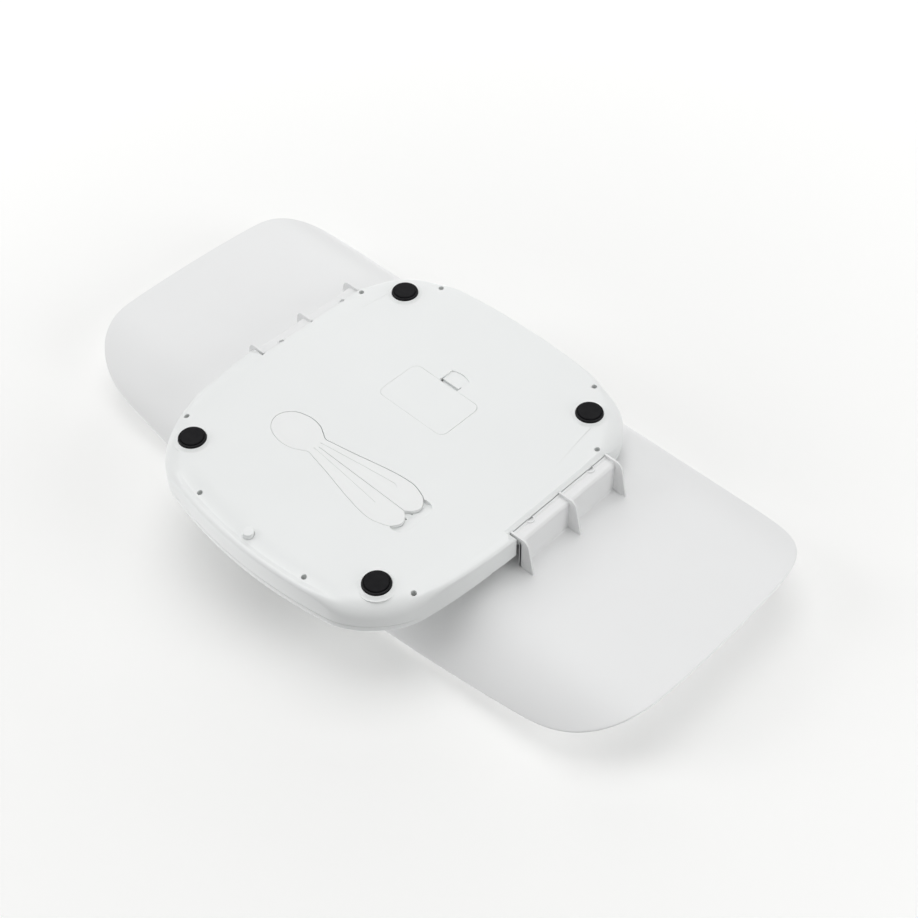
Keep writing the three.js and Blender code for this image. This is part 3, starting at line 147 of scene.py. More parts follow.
# For each finish: its colour, the shade of its faint clouds and how fine they are, its range of roughness,
# how fine and how strong its grain is, and what else sets it apart.
looks = {
    "whiteShell": ((0.835, 0.85, 0.845), (0.82, 0.835, 0.83), 9, (0.3, 0.36), 2600, 0.05, {}),
    "whiteTray": ((0.83, 0.835, 0.835), (0.815, 0.82, 0.82), 7, (0.42, 0.5), 1900, 0.08, {}),
    "whiteTool": ((0.84, 0.85, 0.845), (0.825, 0.835, 0.83), 30, (0.32, 0.4), 2400, 0.05, {}),
    "blackShell": ((0.005, 0.005, 0.006), (0.008, 0.008, 0.009), 60, (0.34, 0.42), 2400, 0.1,
                   {"specular": 0.12}),
    "blackRubber": ((0.006, 0.006, 0.007), (0.01, 0.01, 0.011), 140, (0.55, 0.7), 1500, 0.25,
                    {"specular": 0.08, "grainDepth": 0.0002}),
    "darkLens": ((0.01, 0.012, 0.014), (0.013, 0.015, 0.017), 20, (0.04, 0.08), 90, 0.02, {"coat": 0.4}),
    "greyKey": ((0.6, 0.62, 0.63), (0.57, 0.59, 0.6), 80, (0.4, 0.5), 2000, 0.12, {}),
    "lcdGlass": ((0.33, 0.37, 0.31), (0.3, 0.34, 0.28), 40, (0.12, 0.18), 700, 0.03, {}),
    "boardLacquer": ((0.02, 0.09, 0.045), (0.03, 0.12, 0.06), 180, (0.3, 0.42), 900, 0.15,
                     {"grainDepth": 0.0002}),
    "rolledSteel": ((0.52, 0.53, 0.54), (0.46, 0.47, 0.48), 40, (0.28, 0.42), 900, 0.15,
                    {"metal": 1, "stretch": (1, 12, 1)}),
    "screwNickel": ((0.42, 0.44, 0.41), (0.36, 0.38, 0.35), 300, (0.3, 0.45), 1600, 0.15, {"metal": 1}),
    "batteryFilm": ((0.05, 0.14, 0.3), (0.04, 0.12, 0.27), 60, (0.2, 0.3), 400, 0.05, {"coat": 0.3}),
    "sleeveWhite": ((0.68, 0.68, 0.65), (0.62, 0.62, 0.59), 120, (0.45, 0.6), 800, 0.1, {}),
    "sleeveRed": ((0.38, 0.03, 0.02), (0.32, 0.025, 0.02), 120, (0.45, 0.6), 800, 0.1, {}),
    "sleeveBlack": ((0.015, 0.015, 0.015), (0.022, 0.022, 0.022), 120, (0.45, 0.6), 800, 0.1, {}),
}
finishes = {name: moulded(name, *look) for name, look in looks.items()}
print("materials made:", len(finishes))


# Modelling helpers
# A closed body through rings of equal counts: a circle is put on the first ring, then its rim is extruded
# from ring to ring, and both ends are filled.
def lofted(rings):
    bm = bmesh.new()
    number = bm.verts.layers.int.new("number")
    bmesh.ops.create_circle(bm, segments=len(rings[0]))
    bm.verts.ensure_lookup_table()
    for i, vert in enumerate(bm.verts):
        vert[number] = i
        vert.co = rings[0][i]
    first = rim = list(bm.edges)
    for ring in rings[1:]:
        made = bmesh.ops.extrude_edge_only(bm, edges=rim)["geom"]
        fresh = {g for g in made if isinstance(g, bmesh.types.BMVert)}
        for vert in fresh:
            vert.co = ring[vert[number]]
        rim = [g for g in made if isinstance(g, bmesh.types.BMEdge) and set(g.verts) <= fresh]
    for ends in (first, rim):
        bmesh.ops.contextual_create(bm, geom=ends)
    bmesh.ops.recalc_face_normals(bm, faces=bm.faces)
    return bm


# Raises flat faces by a height and turns all faces outward, after the turn that is given.
def raised(bm, faces, height, turned=None):
    fresh = bmesh.ops.extrude_face_region(bm, geom=faces)["geom"]
    bmesh.ops.translate(bm, vec=(0, 0, height), verts=[g for g in fresh if isinstance(g, bmesh.types.BMVert)])
    if turned:
        bmesh.ops.transform(bm, matrix=turned, verts=bm.verts)
    bmesh.ops.recalc_face_normals(bm, faces=bm.faces)
    return bm


# A flat face with its own corners rounded, raised to a block.
def block(x0, x1, y0, y1, z0, z1, corner=0.0, steps=8):
    bm = bmesh.new()
    bmesh.ops.create_grid(bm, x_segments=1, y_segments=1, size=0.5)
    bmesh.ops.scale(bm, vec=(x1 - x0, y1 - y0, 1), verts=bm.verts)
    bmesh.ops.translate(bm, vec=((x0 + x1) / 2, (y0 + y1) / 2, z0), verts=bm.verts)
    if corner:
        bmesh.ops.bevel(bm, geom=list(bm.verts), offset=corner, offset_type="OFFSET", segments=steps,
                        profile=0.5, affect="VERTICES", material=-1)
    return raised(bm, list(bm.faces), z1 - z0)


# An upright rod round a vertical line
def rod(x, y, z0, z1, radius, steps):
    bm = bmesh.new()
    bmesh.ops.create_cone(bm, cap_ends=True, segments=steps, radius1=radius, radius2=radius, depth=z1 - z0)
    bmesh.ops.translate(bm, vec=(x, y, (z0 + z1) / 2), verts=bm.verts)
    return bm


def rods(places, z0, z1, radius, steps):
    return [rod(x, y, z0, z1, radius, steps) for x, y in places]


# A profile of (radius, height) points spun round a vertical line.
def spun(x, y, profile, steps):
    bm = bmesh.new()
    line = [bm.verts.new((r, 0, z)) for r, z in profile]
    for a, b in zip(line, line[1:]):
        bm.edges.new((a, b))
    whole = list(bm.verts) + list(bm.edges)
    bmesh.ops.spin(bm, geom=whole, cent=(0, 0, 0), axis=(0, 0, 1), angle=2 * pi, steps=steps,
                   use_merge=True)
    bmesh.ops.remove_doubles(bm, verts=bm.verts, dist=weldDistance)
    bmesh.ops.recalc_face_normals(bm, faces=bm.faces)
    bmesh.ops.translate(bm, vec=(x, y, 0), verts=bm.verts)
    return bm


# A drawn outline made a face and raised along Z, or laid across X or Y by the turn that is given.
def raisedOutline(points, z0, z1, turned=None):
    bm = bmesh.new()
    bmesh.ops.create_circle(bm, segments=len(points))
    bm.verts.ensure_lookup_table()
    for vert, point in zip(bm.verts, points):
        vert.co = (point[0], point[1], z0)
    made = bmesh.ops.contextual_create(bm, geom=list(bm.edges))["faces"]
    return raised(bm, made, z1 - z0, turned)


def softened(bm, width, segments, angle, chosen=None):
    sharp = radians(angle)
    edges = [e for e in bm.edges if len(e.link_faces) == 2 and e.calc_face_angle(0) > sharp]
    if chosen:
        edges = [e for e in edges if chosen(e)]
    bmesh.ops.bevel(bm, geom=edges, offset=width, offset_type="OFFSET", segments=segments, profile=0.5,
                    affect="EDGES", clamp_overlap=False, material=-1)
    return bm


def heights(edge):
    return [v.co.z for v in edge.verts]


def levelWith(z):
    return lambda e: all(abs(height - z) < flatDistance for height in heights(e))


def quarterTurn(steps):
    return [pi / 2 * k / steps for k in range(steps + 1)]


def grown(sides, by):
    return sides[0] - by, sides[1] + by, sides[2] - by, sides[3] + by


# The middle of a node as (x, y) in millimetres, measured from the base's own middle
def placeOf(name):
    low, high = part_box(name)
    return round((low.x + high.x) * 500, 2), round((low.y + high.y) * 500 - middleY, 2)


# Splits the flat at a height along lines through its later holes, so that no face goes all round a hole.
def ruled(bm, z, xs, ys):
    for axis, lines in ((0, xs), (1, ys)):
        for line in lines:
            flat = [f for f in bm.faces if all(abs(v.co.z - z) < weldDistance for v in f.verts)]
            around = {part for f in flat for part in (*f.verts, *f.edges)}
            along = Vector((1 - axis, axis, 0))
            parts = flat + list(around)
            bmesh.ops.bisect_plane(bm, geom=parts, dist=cutDistance, plane_co=along * line, plane_no=along)


def gathered(bodies):
    whole = bmesh.new()
    for bm in bodies:
        mesh = bpy.data.meshes.new("part")
        bm.to_mesh(mesh)
        bm.free()
        whole.from_mesh(mesh)
        bpy.data.meshes.remove(mesh)
    return whole


def shown(name, bm):
    mesh = bpy.data.meshes.new(name)
    bm.to_mesh(mesh)
    bm.free()
    thing = bpy.data.objects.new(name, mesh)
    bpy.context.scene.collection.objects.link(thing)
    return thing


def discarded(thing):
    mesh = thing.data
    bpy.data.objects.remove(thing)
    bpy.data.meshes.remove(mesh)


# Cuts or joins whole bodies with the Boolean modifier, and gives the result back for more work.
def carved(bm, cutters, operation="DIFFERENCE"):
    target = shown("target", bm)
    for cutter in cutters:
        tool = shown("cutter", cutter)
        step = target.modifiers.new("carve", "BOOLEAN")
        step.operation = operation
        step.solver = "EXACT"
        step.object = tool
        shape = bpy.data.meshes.new_from_object(target.evaluated_get(bpy.context.evaluated_depsgraph_get()))
        target.modifiers.clear()
        old = target.data
        target.data = shape
        bpy.data.meshes.remove(old)
        discarded(tool)
    result = bmesh.new()
    result.from_mesh(target.data)
    discarded(target)
    return result


# Puts a body into the frame in metres, smooths it between its sharp edges, and says what it rides on.
def finished(name, bm, look, body, stands=()):
    bmesh.ops.translate(bm, vec=(0, middleY, 0), verts=bm.verts)
    bmesh.ops.scale(bm, vec=(0.001, 0.001, 0.001), verts=bm.verts)
    limit = radians(sharpAngle)  # flatter edges are shaded smooth
    for face in bm.faces:
        face.smooth = True
    for edge in bm.edges:
        edge.smooth = len(edge.link_faces) == 2 and edge.calc_face_angle(0) < limit
    thing = shown(name, bm)
    thing.data.materials.append(finishes[look])
    even = thing.modifiers.new("even shading", "WEIGHTED_NORMAL")
    even.keep_sharp = True
    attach(thing, body)
    if stands:
        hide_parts(*stands)
    return thing


# Base outline: a rounded rectangle whose sides bow outward. Pairs are for its front half and its back half.
base = Settings(
    halfX=156.5, reach=(172.5, 167.5), corner=(48.5, 36), squareness=2, insetShare=0.7, sideBow=(21.9, 19),
    endBow=(21.2, 14.5), underside=4.5, seam=26.5, top=40.2, wall=2.4, valleyInset=9.2, valleyNear=6,
    valleyFar=15, valleyDepth=2.7, valleySide=0.35, lipReach=3, lipRise=2.8, cornerReach=17, cornerRise=15,
    shoulderRise=4.4, shoulderReach=1.6, shoulderHeight=5.6, shoulderRound=(1.6, 0.2), domeReach=75,
    domeCurve=1.95, setback=12, setbackRise=6, ledge=4, rib=1.2, ribReach=(2.2, 3.2),
    lowerEdge=((0, 0.5), (0.15, 0.1), (0.35, 0)), upperEdge=((0.35, 0), (0.12, 0.1), (0, 0.35)),
)

# Where a corner, an end and the stretch beside the hooks come and go, as shares of half the width and length
zones = Settings(
    corner=(0.55, 0.84), end=(0.5, 0.85), flank=(0.8, 0.98), back=(0.2, 0.4), front=(0.08, 0.28),
    frontFade=(0.1, 0.85), fadeShare=0.3,
)


def smoothstep(value, low, high):
    t = min(1, max(0, (value - low) / (high - low)))
    return t * t * (3 - 2 * t)


def besideHooks(u, v):
    if v > 0:
        away = smoothstep(v, *zones.back)
    else:
        fade = zones.fadeShare
        away = (1 - fade) * smoothstep(-v, *zones.front) + fade * smoothstep(-v, *zones.frontFade)
    return (1 - away) * smoothstep(abs(u), *zones.flank)


# Each point of an outline carries how much of a corner it is, how deep the underside's valley is inboard
# of it, and how much it belongs to the stretch beside the hooks.
def bowedOutline(size, cornerSteps, sideSteps):
    halfX, reach, corner = size.halfX, size.reach, size.corner

    def squared(v):
        return copysign(abs(v) ** (2 / size.squareness), v)

    def rim(k, angle):
        x, y = ((1, 1), (-1, 1), (-1, -1), (1, -1))[k % 4]
        half = int(y > 0)
        return Vector((x * (halfX - corner[half]) + corner[half] * squared(cos(angle)),
                       y * (reach[half] - corner[half]) + corner[half] * squared(sin(angle))))

    points = []
    for k in range(4):
        points += [rim(k, (k + s / cornerSteps) * pi / 2) for s in range(cornerSteps + 1)]
        start, end = points[-1], rim(k + 1, (k + 1) * pi / 2)
        points += [start.lerp(end, s / sideSteps) for s in range(1, sideSteps)]
    outline = []
    for p in points:
        half = int(p.y > 0)
        u = p.x / halfX
        v = p.y / reach[half]
        x, y = p.x - size.sideBow[half] * u * v * v, p.y - size.endBow[half] * v * u * u
        cornerness = smoothstep(abs(u * v), *zones.corner)
        atEnd = smoothstep(abs(v), *zones.end)
        valley = (base.valleySide * (1 - atEnd) + (1 - half) * atEnd) * (1 - cornerness)
        outline.append((x, y, cornerness, valley, besideHooks(u, v)))
    return outline


baseOutline = bowedOutline(base, cornerSteps=24, sideSteps=40)


# A ring inboard of the outline; back says how far it stands back beside the hooks. A deep inset goes square
# to the outline at first and then shrinks the ring towards its middle.
def insetRing(inset, height, back=0.0):
    count = len(baseOutline)
    ring = []
    for i, (x, y, cornerness, valley, hookness) in enumerate(baseOutline):
        before, after = baseOutline[i - 1], baseOutline[(i + 1) % count]
        along = Vector((after[0] - before[0], after[1] - before[1])).normalized()
        whole = inset + back * hookness
        near = min(whole, base.corner[1] * base.insetShare)
        point = Vector((x, y)) + Vector((-along.y, along.x)) * near
        point *= 1 - (whole - near) / point.length
        z = height(cornerness, valley, hookness) if callable(height) else height
        ring.append(Vector((point.x, point.y, z)))
    return ring


def undersideHeight(inset, cornerness, valley):
    reach = base.lipReach + (base.cornerReach - base.lipReach) * cornerness
    rise = base.lipRise + (base.cornerRise - base.lipRise) * cornerness
    away = inset - base.valleyInset
    across = min(1, away / base.valleyFar if away > 0 else -away / base.valleyNear)
    dip = base.valleyDepth * valley * cos(across * pi / 2) ** 2
    roll = max(0, 1 - inset / reach)
    return base.underside + dip + rise * (1 - sqrt(1 - roll * roll))


def domeHeight(inset, hookness=0.0):
    t = min(1, inset / base.domeReach)
    start = base.seam + base.shoulderHeight + base.setbackRise * hookness
    return start + (base.top - start) * (1 - (1 - t) ** base.domeCurve)


def underRings(insets, shift=0.0, lift=0.0):
    rings = []
    for inset in insets:
        rings.append(insetRing(inset + shift, lambda c, v, h: undersideHeight(inset, c, v) + lift))
    return rings


# Places shared by the shells. Sides are west, east, south and north.
below, above, outside, overlap = -1, 45, 176, 1  # how far cutters and joined bodies go past what they meet
skin = 2  # the shell's thickness round a pocket
screwPlaces = [placeOf(f"housing_screw_{k}") for k in range(1, 9)]
footPlaces = [placeOf(f"foot_pad_{k}") for k in range(1, 5)]
unitPlace = placeOf("unit_button")
feet = Settings(
    hole=12.0, holeTop=11, wellWidth=2.2, wellTop=9.7, collarWidth=1.0, collarDrop=1.7, flank=3.2,
)
screws = Settings(
    hole=2.4, depth=14, seat=16.1, shank=1.4, shankTop=22, bossTop=19.2, wall=1.9, postTop=30.8,
)
unit = Settings(
    radius=4.6, hole=4.85, holeTop=12, boss=6.8, bossTop=10.6, low=2.1, flat=3.4, edge=0.7, flange=6.5,
    flangeLow=10.9, flangeTop=12.1, stem=2.5,
)
door = Settings(
    sides=(-38, 38.8, 20.2, 66.9), corner=7, thickness=2.2, seam=0.1, westSeam=0.24, toeHalf=6, toeX=22,
    toeReach=2.2, toeThickness=1.3, toeSlot=4, toeInside=0.5, toeFoot=(0.6, 1.9), toeRound=0.4,
)
bay = Settings(
    sides=(-26.05, 26.05, 24.2, 57.8), wall=1.5, low=1, top=17.9,
)
latch = Settings(
    half=9.3, gap=3.3, sideGap=1.1, tongue=2.7, nose=0.3, lift=0.4, thickness=1.2, armHalf=9,
    armThickness=0.6, hold=5, plate=3.6, room=5, openLow=3, scoopSide=8.8, scoopBow=2.7, scoopDeep=1.6,
    scoopShallow=1.1,
)
tool = Settings(
    y=-57.5, thickness=3, head=80, tip=80, neck=9.6, headHalf=17.8, prongHalf=24.6, slit=0.32, slitStart=2,
    slitEnd=28, pocketFit=0.38, pocketShift=0.16, panelDepth=0.5, fingerReach=9, fingerHalf=20,
    fingerRound=9.5, fingerCorner=8.99, fingerLip=0.9, fingerEnd=12, fingerWall=11, catches=(-54.2, -60.9),
    catchX=(1.4, 3.4), catchHalf=0.6, catchDepth=1.6,
)
hook = Settings(
    front=-14, length=115.5, gap=0.5, wall=2.2, height=10.2, reach=9.5, round=3, bead=1.6, beadHeight=0.8,
    beadSlope=(0.3, 0.9), beadSink=0.05, notch=2.8, notchTop=10.9, notches=(8.3, 81.3), collarRise=0.3,
    footFillet=((0, 2.2), (0.5, 1.3), (1.6, 0.9), (1.6, 0)), innerFillet=((0, 0.8), (0.3, 0.2), (1, 0)),
    gusset=1.8, gussetFoot=13.6, gussetSink=0.4, shoulder=2.5, proud=3.3, turn=5.8,
)
hook["inner"] = base.halfX + hook.gap
hook.update(outer=hook.inner + hook.wall, flange=hook.inner - hook.reach, back=hook.front + hook.length)
recess = Settings(
    inner=hook.flange - 0.5, front=hook.front - 1.2, top=hook.height + hook.wall + fit,
    slope=3.4, slopeDepth=4.2, frontSlope=3.8, flare=0.34, slotReach=7, slotLength=8, wallRound=2.6,
    roofBack=24, offPlane=0.13,
)
west, east, south, north = door.sides
doorTop = base.underside + door.thickness
floorTop = base.underside + base.wall
latchFront = north + latch.gap
latchEnd = latchFront + latch.tongue + 2 * fit
scoopEnd = latchEnd + latch.scoopSide + latch.scoopBow


# The tool's outline: a smooth curve through half widths along it, mirrored. Its head is a plain round.
def toolOutline(grow, steps=96):
    head, tip, neck = tool.head, tool.tip, tool.neck
    half = [(head + grow, 0), (head - 2 + grow, 7), (head - 9, 14 + grow), (head - 22, tool.headHalf + grow),
            (head - 35, tool.headHalf - 1 + grow), (head - 44, neck + 2.9 + grow), (head - 50, neck + grow),
            (head - 59, neck + 1.4 + grow), (0, 15 + grow), (-20, 19.4 + grow), (-40, 23.2 + grow),
            (-55, tool.prongHalf + grow), (16 - tip, tool.prongHalf - 1.2 + grow), (5 - tip, 19 + grow),
            (-tip - grow, 11), (2 - tip - grow, 5), (7 - tip - grow, tool.slit / 2 + 0.3)]
    upper = []
    for s in range(steps + 1):
        place = s / steps * (len(half) - 1)
        k = min(int(place), len(half) - 2)
        t = place - k
        p = [Vector(half[max(0, min(len(half) - 1, k + j))]) for j in (-1, 0, 1, 2)]
        v0, v1 = (p[2] - p[0]) / 2, (p[3] - p[1]) / 2
        cubic = 2 * p[1] - 2 * p[2] + v0 + v1
        square = 3 * p[2] - 3 * p[1] - 2 * v0 - v1
        q = cubic * t ** 3 + square * t ** 2 + v0 * t + p[1]
        upper.append((q.x, tool.y + q.y))
    return upper + [(x, 2 * tool.y - y) for x, y in reversed(upper[1:])]


def bowedEnd(half, y0, side, bow, steps=24):
    end = []
    for s in range(steps + 1):
        t = s / steps
        end.append((half * (1 - 2 * t), side + 4 * bow * t * (1 - t)))
    return [(-half, y0), (half, y0)] + end


def acrossY(points, y0, y1):
    flip = Matrix(((1, 0, 0, 0), (0, 0, 1, 0), (0, 1, 0, 0), (0, 0, 0, 1)))
    return raisedOutline(points, y0, y1, flip)


def acrossX(points, x0, x1):
    return raisedOutline(points, x0, x1, Matrix(((0, 0, 1, 0), (1, 0, 0, 0), (0, 1, 0, 0), (0, 0, 0, 1))))


def sided(bm, side):
    if side < 0:
        bmesh.ops.scale(bm, vec=(-1, 1, 1), verts=bm.verts)
        bmesh.ops.reverse_faces(bm, faces=bm.faces)
    return bm


# The recess that a hook runs in, open to the side and to the back, its other two walls sloped at first
def hookRecess():
    inner, front, back = recess.inner, recess.front, base.reach[1] + 10

    def ring(z, slope, frontSlope, flare):
        x, y = inner - slope, front - frontSlope
        corners = ((x, y, z), (outside, y - flare * (outside - x), z), (outside, back, z), (x, back, z))
        return [Vector(p) for p in corners]

    wide = (recess.slope, recess.frontSlope, recess.flare)
    return lofted([ring(below, *wide), ring(base.underside, *wide),
                   ring(base.underside + recess.slopeDepth, 0, 0, 0), ring(recess.top, 0, 0, 0)])


# The slot beside the first gusset; the side wall ends there in a round corner
def wallSlot():
    start, front, turn = base.halfX - recess.slotReach, recess.front, recess.wallRound
    back, past = front + recess.slotLength, front - turn - 8
    outline = [(outside, back), (start, back), (start, front)]
    for a in quarterTurn(8):
        outline.append((base.halfX - turn + turn * sin(a), front - turn + turn * cos(a)))
    return raisedOutline(outline + [(outside, past)], base.underside - 2, base.seam + overlap)


# What the lower shell keeps inside its hollow: bosses, wells and the backs of its pockets
def innerBodies(pocketTop, openHalf):
    wall, sides = base.wall, []
    posts = rods(screwPlaces, below, screws.bossTop, screws.hole + screws.wall, 24)
    wells = rods(footPlaces, below, feet.wellTop, feet.hole + feet.wellWidth, 40)
    inner = recess.inner - recess.slope - wall - recess.offPlane
    for sign in bothSides:
        x0, x1 = sorted((sign * inner, sign * outside))
        front, back = recess.front - recess.slope - wall, hook.back + recess.roofBack
        sides.append(block(x0, x1, front, back, below, recess.top + wall))
        x0, x1 = sorted((sign * (base.halfX - recess.slotReach - wall), sign * outside))
        front, back = recess.front - wall, recess.front + recess.slotLength + wall
        sides.append(block(x0, x1, front, back, recess.top, base.seam))
    fingerSides = (-tool.tip - tool.fingerReach - skin, tool.fingerEnd - tool.tip,
                   tool.y - tool.fingerHalf - skin, tool.y + tool.fingerHalf + skin)
    return [gathered(posts + wells)] + sides + [
        block(*grown(door.sides, wall), below, doorTop + fit + wall, door.corner + wall),
        block(*grown(bay.sides, bay.wall), below, bay.top + bay.wall),
        block(-openHalf - skin, openHalf + skin, north, scoopEnd + skin, below, floorTop + overlap),
        raisedOutline(toolOutline(tool.pocketFit + skin), below, pocketTop + skin),
        block(*fingerSides, below, pocketTop + skin, tool.fingerWall),
        rod(*unitPlace, below, unit.bossTop, unit.boss, 40),
    ]


# The openings of the battery door: its seat, the bay, the latch's opening and the slots for the door's toes
def doorCutters(openHalf):
    thin, bayBack = door.seam, bay.sides[3] + bay.wall + fit
    cutters = [
        block(west - door.westSeam, east + thin, south - thin, north + thin, below, doorTop + fit,
              door.corner + thin, 14),
        block(*bay.sides, bay.low, bay.top),
        block(-openHalf, openHalf, bayBack, north + overlap, latch.openLow,
              doorTop + 2 * fit + latch.thickness),
        block(-openHalf, openHalf, north, latchEnd, below, doorTop + latch.room),
    ]
    for side in bothSides:
        x, half = (west + east) / 2 + side * door.toeX, door.toeHalf + fit
        start, end = south - door.toeReach - overlap, bay.sides[2] + door.toeInside
        cutters.append(block(x - half, x + half, start, end, doorTop - fit, doorTop + door.toeSlot))
    return cutters


# A flat hollow behind the latch that grows shallower
def latchScoop(openHalf):
    start, under = latchEnd - overlap, base.underside
    outline = bowedEnd(openHalf, start, latchEnd + latch.scoopSide, latch.scoopBow)
    slope = [(start, below), (start, under + latch.scoopDeep), (scoopEnd, under + latch.scoopShallow),
             (scoopEnd + overlap, below)]
    floor = acrossX(slope, -openHalf - overlap, openHalf + overlap)
    return carved(raisedOutline(outline, below, floorTop), [floor], "INTERSECT")


# The tool's pocket, the finger dish at its tips and two small catches
def toolCutters(pocketTop):
    tip, y, half, rounded = -tool.tip, tool.y, tool.fingerHalf, tool.fingerRound
    pocket = [(x, py + tool.pocketShift) for x, py in toolOutline(tool.pocketFit)]
    reach, lip = tip - tool.fingerReach, base.underside + tool.fingerLip
    dish = block(reach, reach + 2 * rounded, y - half, y + half, below, pocketTop, tool.fingerCorner, 14)
    start, end = reach - overlap, tip + half
    slope = [(start, below), (start, lip), (tip, pocketTop), (end, pocketTop), (end, below)]
    dish = carved(dish, [acrossY(slope, y - half, y + half)], "INTERSECT")
    cutters = [raisedOutline(pocket, below, pocketTop), dish]
    near, far = tool.catchX
    for middle in tool.catches:
        cutters.append(block(tip + near, tip + far, middle - tool.catchHalf, middle + tool.catchHalf,
                             pocketTop - 0.5, pocketTop + tool.catchDepth))
    return cutters


# Lower shell
def lowerShell():
    under, wall, seam, back = base.underside, base.wall, base.seam, base.setback
    flat = base.valleyInset + base.valleyFar
    rimInsets = [flat, 22.8, 21, 19, 17, 15, 13, 11.5, 10.2, 9.2, 8.4, 7.8, 7.2, 6.6, 6, 5.4, 4.9, 4.4, 3.8,
                 3.2, 2.6, 2, 1.5, 1.05, 0.7, 0.4, 0.2, 0.05, 0]
    seamEdge = [insetRing(inset, seam - drop) for inset, drop in base.lowerEdge]
    outer = lofted(underRings(rimInsets) + seamEdge)
    lines = ((-110, 0, 110), (-124, tool.y, 0, 43, 124))
    ruled(outer, under, *lines)
    ledge = seam - base.ledge
    upright = [insetRing(wall, ledge), insetRing(wall, ledge + 0.01, back),
               insetRing(wall, seam + overlap, back)]
    hollow = lofted(underRings([flat, 15, 8, 3, 0], wall, wall) + upright)
    ruled(hollow, floorTop, *lines)
    pocketTop = under + tool.thickness + fit
    openHalf = latch.half + latch.sideGap
    shell = carved(outer, [carved(hollow, innerBodies(pocketTop, openHalf))])
    holes = rods(screwPlaces, below, screws.seat, screws.hole, 32)
    holes += rods(footPlaces, below, feet.holeTop, feet.hole, 64)
    holes.append(rod(*unitPlace, below, unit.holeTop, unit.hole, 48))
    shanks = rods(screwPlaces, screws.depth, screws.shankTop, screws.shank, 16)
    cutters = [gathered(holes), gathered(shanks)]
    for side in bothSides:
        cutters.append(sided(hookRecess(), side))
        cutters.append(sided(wallSlot(), side))
    shell = carved(shell, cutters + doorCutters(openHalf) + [latchScoop(openHalf)] + toolCutters(pocketTop))
    bmesh.ops.holes_fill(shell, edges=[e for e in shell.edges if len(e.link_faces) == 1], sides=4)
    softened(shell, 0.22, 2, 50, levelWith(under))
    return shell


finished("lower_shell", lowerShell(), "whiteShell", "base", ["lower_housing"])
print("lower shell made")


# Upper shell: shoulder and dome, with the display's frame, the key holes and the screw posts
panel = Settings(
    y=-139, z=37, tilt=8.6, window=(80, 30), glass=1.5, sink=0.4, glassCorner=2.3, corner=2.5, frame=6,
    frameTop=8, ledge=(5, 4), ledgeDepth=1.4, ledgeCorner=2, past=6, keyX=68, key=7.8, keyPlay=0.1,
    keyDepth=12, boardDrop=9.5, postX=46, post=3, postHole=1.4, postHoleDepth=6,
)
onPanel = Matrix.Translation((0, panel.y, panel.z)) @ Matrix.Rotation(radians(panel.tilt), 4, "X")


def tipped(bm):
    bmesh.ops.transform(bm, matrix=onPanel, verts=bm.verts)
    return bm


# A pair of rods square to the tilted panel
def pairOnPanel(x, z0, z1, radius, steps):
    return gathered([tipped(rod(side * x, 0, z0, z1, radius, steps)) for side in bothSides])


def domeRing(inset, shift=0.0, drop=0.0):
    away = base.setback * (1 - inset / base.domeReach)
    return insetRing(inset + shift, lambda c, v, h: domeHeight(inset, h) - drop, away)


def shoulderRing(share):
    reach, top = base.shoulderReach, base.seam + base.shoulderRise
    inward, upward = base.shoulderRound
    rise = sqrt(1 - (1 - share) ** 2) * share ** upward
    inset, back = reach * share ** inward, base.setback
    return insetRing(inset, lambda c, v, h: top + (domeHeight(reach, h) - top) * rise, back)


# The rib inside the seam that centres the upper shell on the lower one
def seamRib():
    seam, back = base.seam, base.setback
    outer = base.wall + fit
    inner = outer + base.rib
    low, high = base.ribReach
    start, end = seam - low, seam + high
    solid = lofted([insetRing(outer, z, back) for z in (start, end)])
    through = lofted([insetRing(inner, z, back) for z in (start - overlap, end + overlap)])
    return carved(solid, [through])


# What is cut out of the upper shell: the window's seat and opening, and the holes of keys and screws
def upperCutters(under, ledge):
    width, depth = (v / 2 for v in panel.window)
    window, drop = (-width, width, -depth, depth), panel.boardDrop
    inX, inY = panel.ledge
    opening = (-width + inX, width - inX, -depth + inY, depth - inY)
    low, key = screws.bossTop - overlap, panel.key + fit + panel.keyPlay
    return [
        tipped(block(*grown(window, fit), under - fit, panel.past, panel.corner, 8)),
        tipped(block(*opening, ledge - overlap, panel.past, panel.ledgeCorner, 6)),
        pairOnPanel(panel.keyX, -panel.keyDepth, panel.past, key, 64),
        gathered(rods(screwPlaces, low, screws.postTop, screws.shank, 16)),
        pairOnPanel(panel.postX, -drop - overlap, -drop + panel.postHoleDepth, panel.postHole, 16),
    ]


def upperShell():
    seam, wall, back, reach = base.seam + fit, base.wall, base.setback, base.domeReach
    top = base.seam + base.shoulderRise
    outerInsets = [2.2, 3, 4, 5.5, 7.5, 10, 13, 17, 22, 28, 35, 43, 52, 63, reach]
    hollowInsets = [1.6, 14, 36, reach - wall]
    shoulder = [insetRing(inset, seam + rise, back) for inset, rise in base.upperEdge]
    shoulder += [insetRing(0, top, back)] + [shoulderRing(share) for share in (0.2, 0.4, 0.6, 0.8, 1)]
    outer = lofted(shoulder + [domeRing(inset) for inset in outerInsets])
    sides = [insetRing(wall, seam + wall - 1.5, back), insetRing(wall + 0.5, top, back)]
    hollow = lofted(sides + [domeRing(inset, wall, wall) for inset in hollowInsets])
    low, post = screws.bossTop + fit, screws.shank + screws.wall
    width, depth = (v / 2 for v in panel.window)
    under = -panel.sink - panel.glass
    ledge = under - fit - panel.ledgeDepth
    rim = tipped(block(*grown((-width, width, -depth, depth), panel.frame), ledge, panel.frameTop))
    boardPosts = pairOnPanel(panel.postX, -panel.boardDrop + fit, panel.frameTop, panel.post, 20)
    body = carved(outer, [carved(hollow, [gathered(rods(screwPlaces, low, above, post, 20)), rim, boardPosts])])
    return carved(carved(body, [seamRib()], "UNION"), upperCutters(under, ledge))


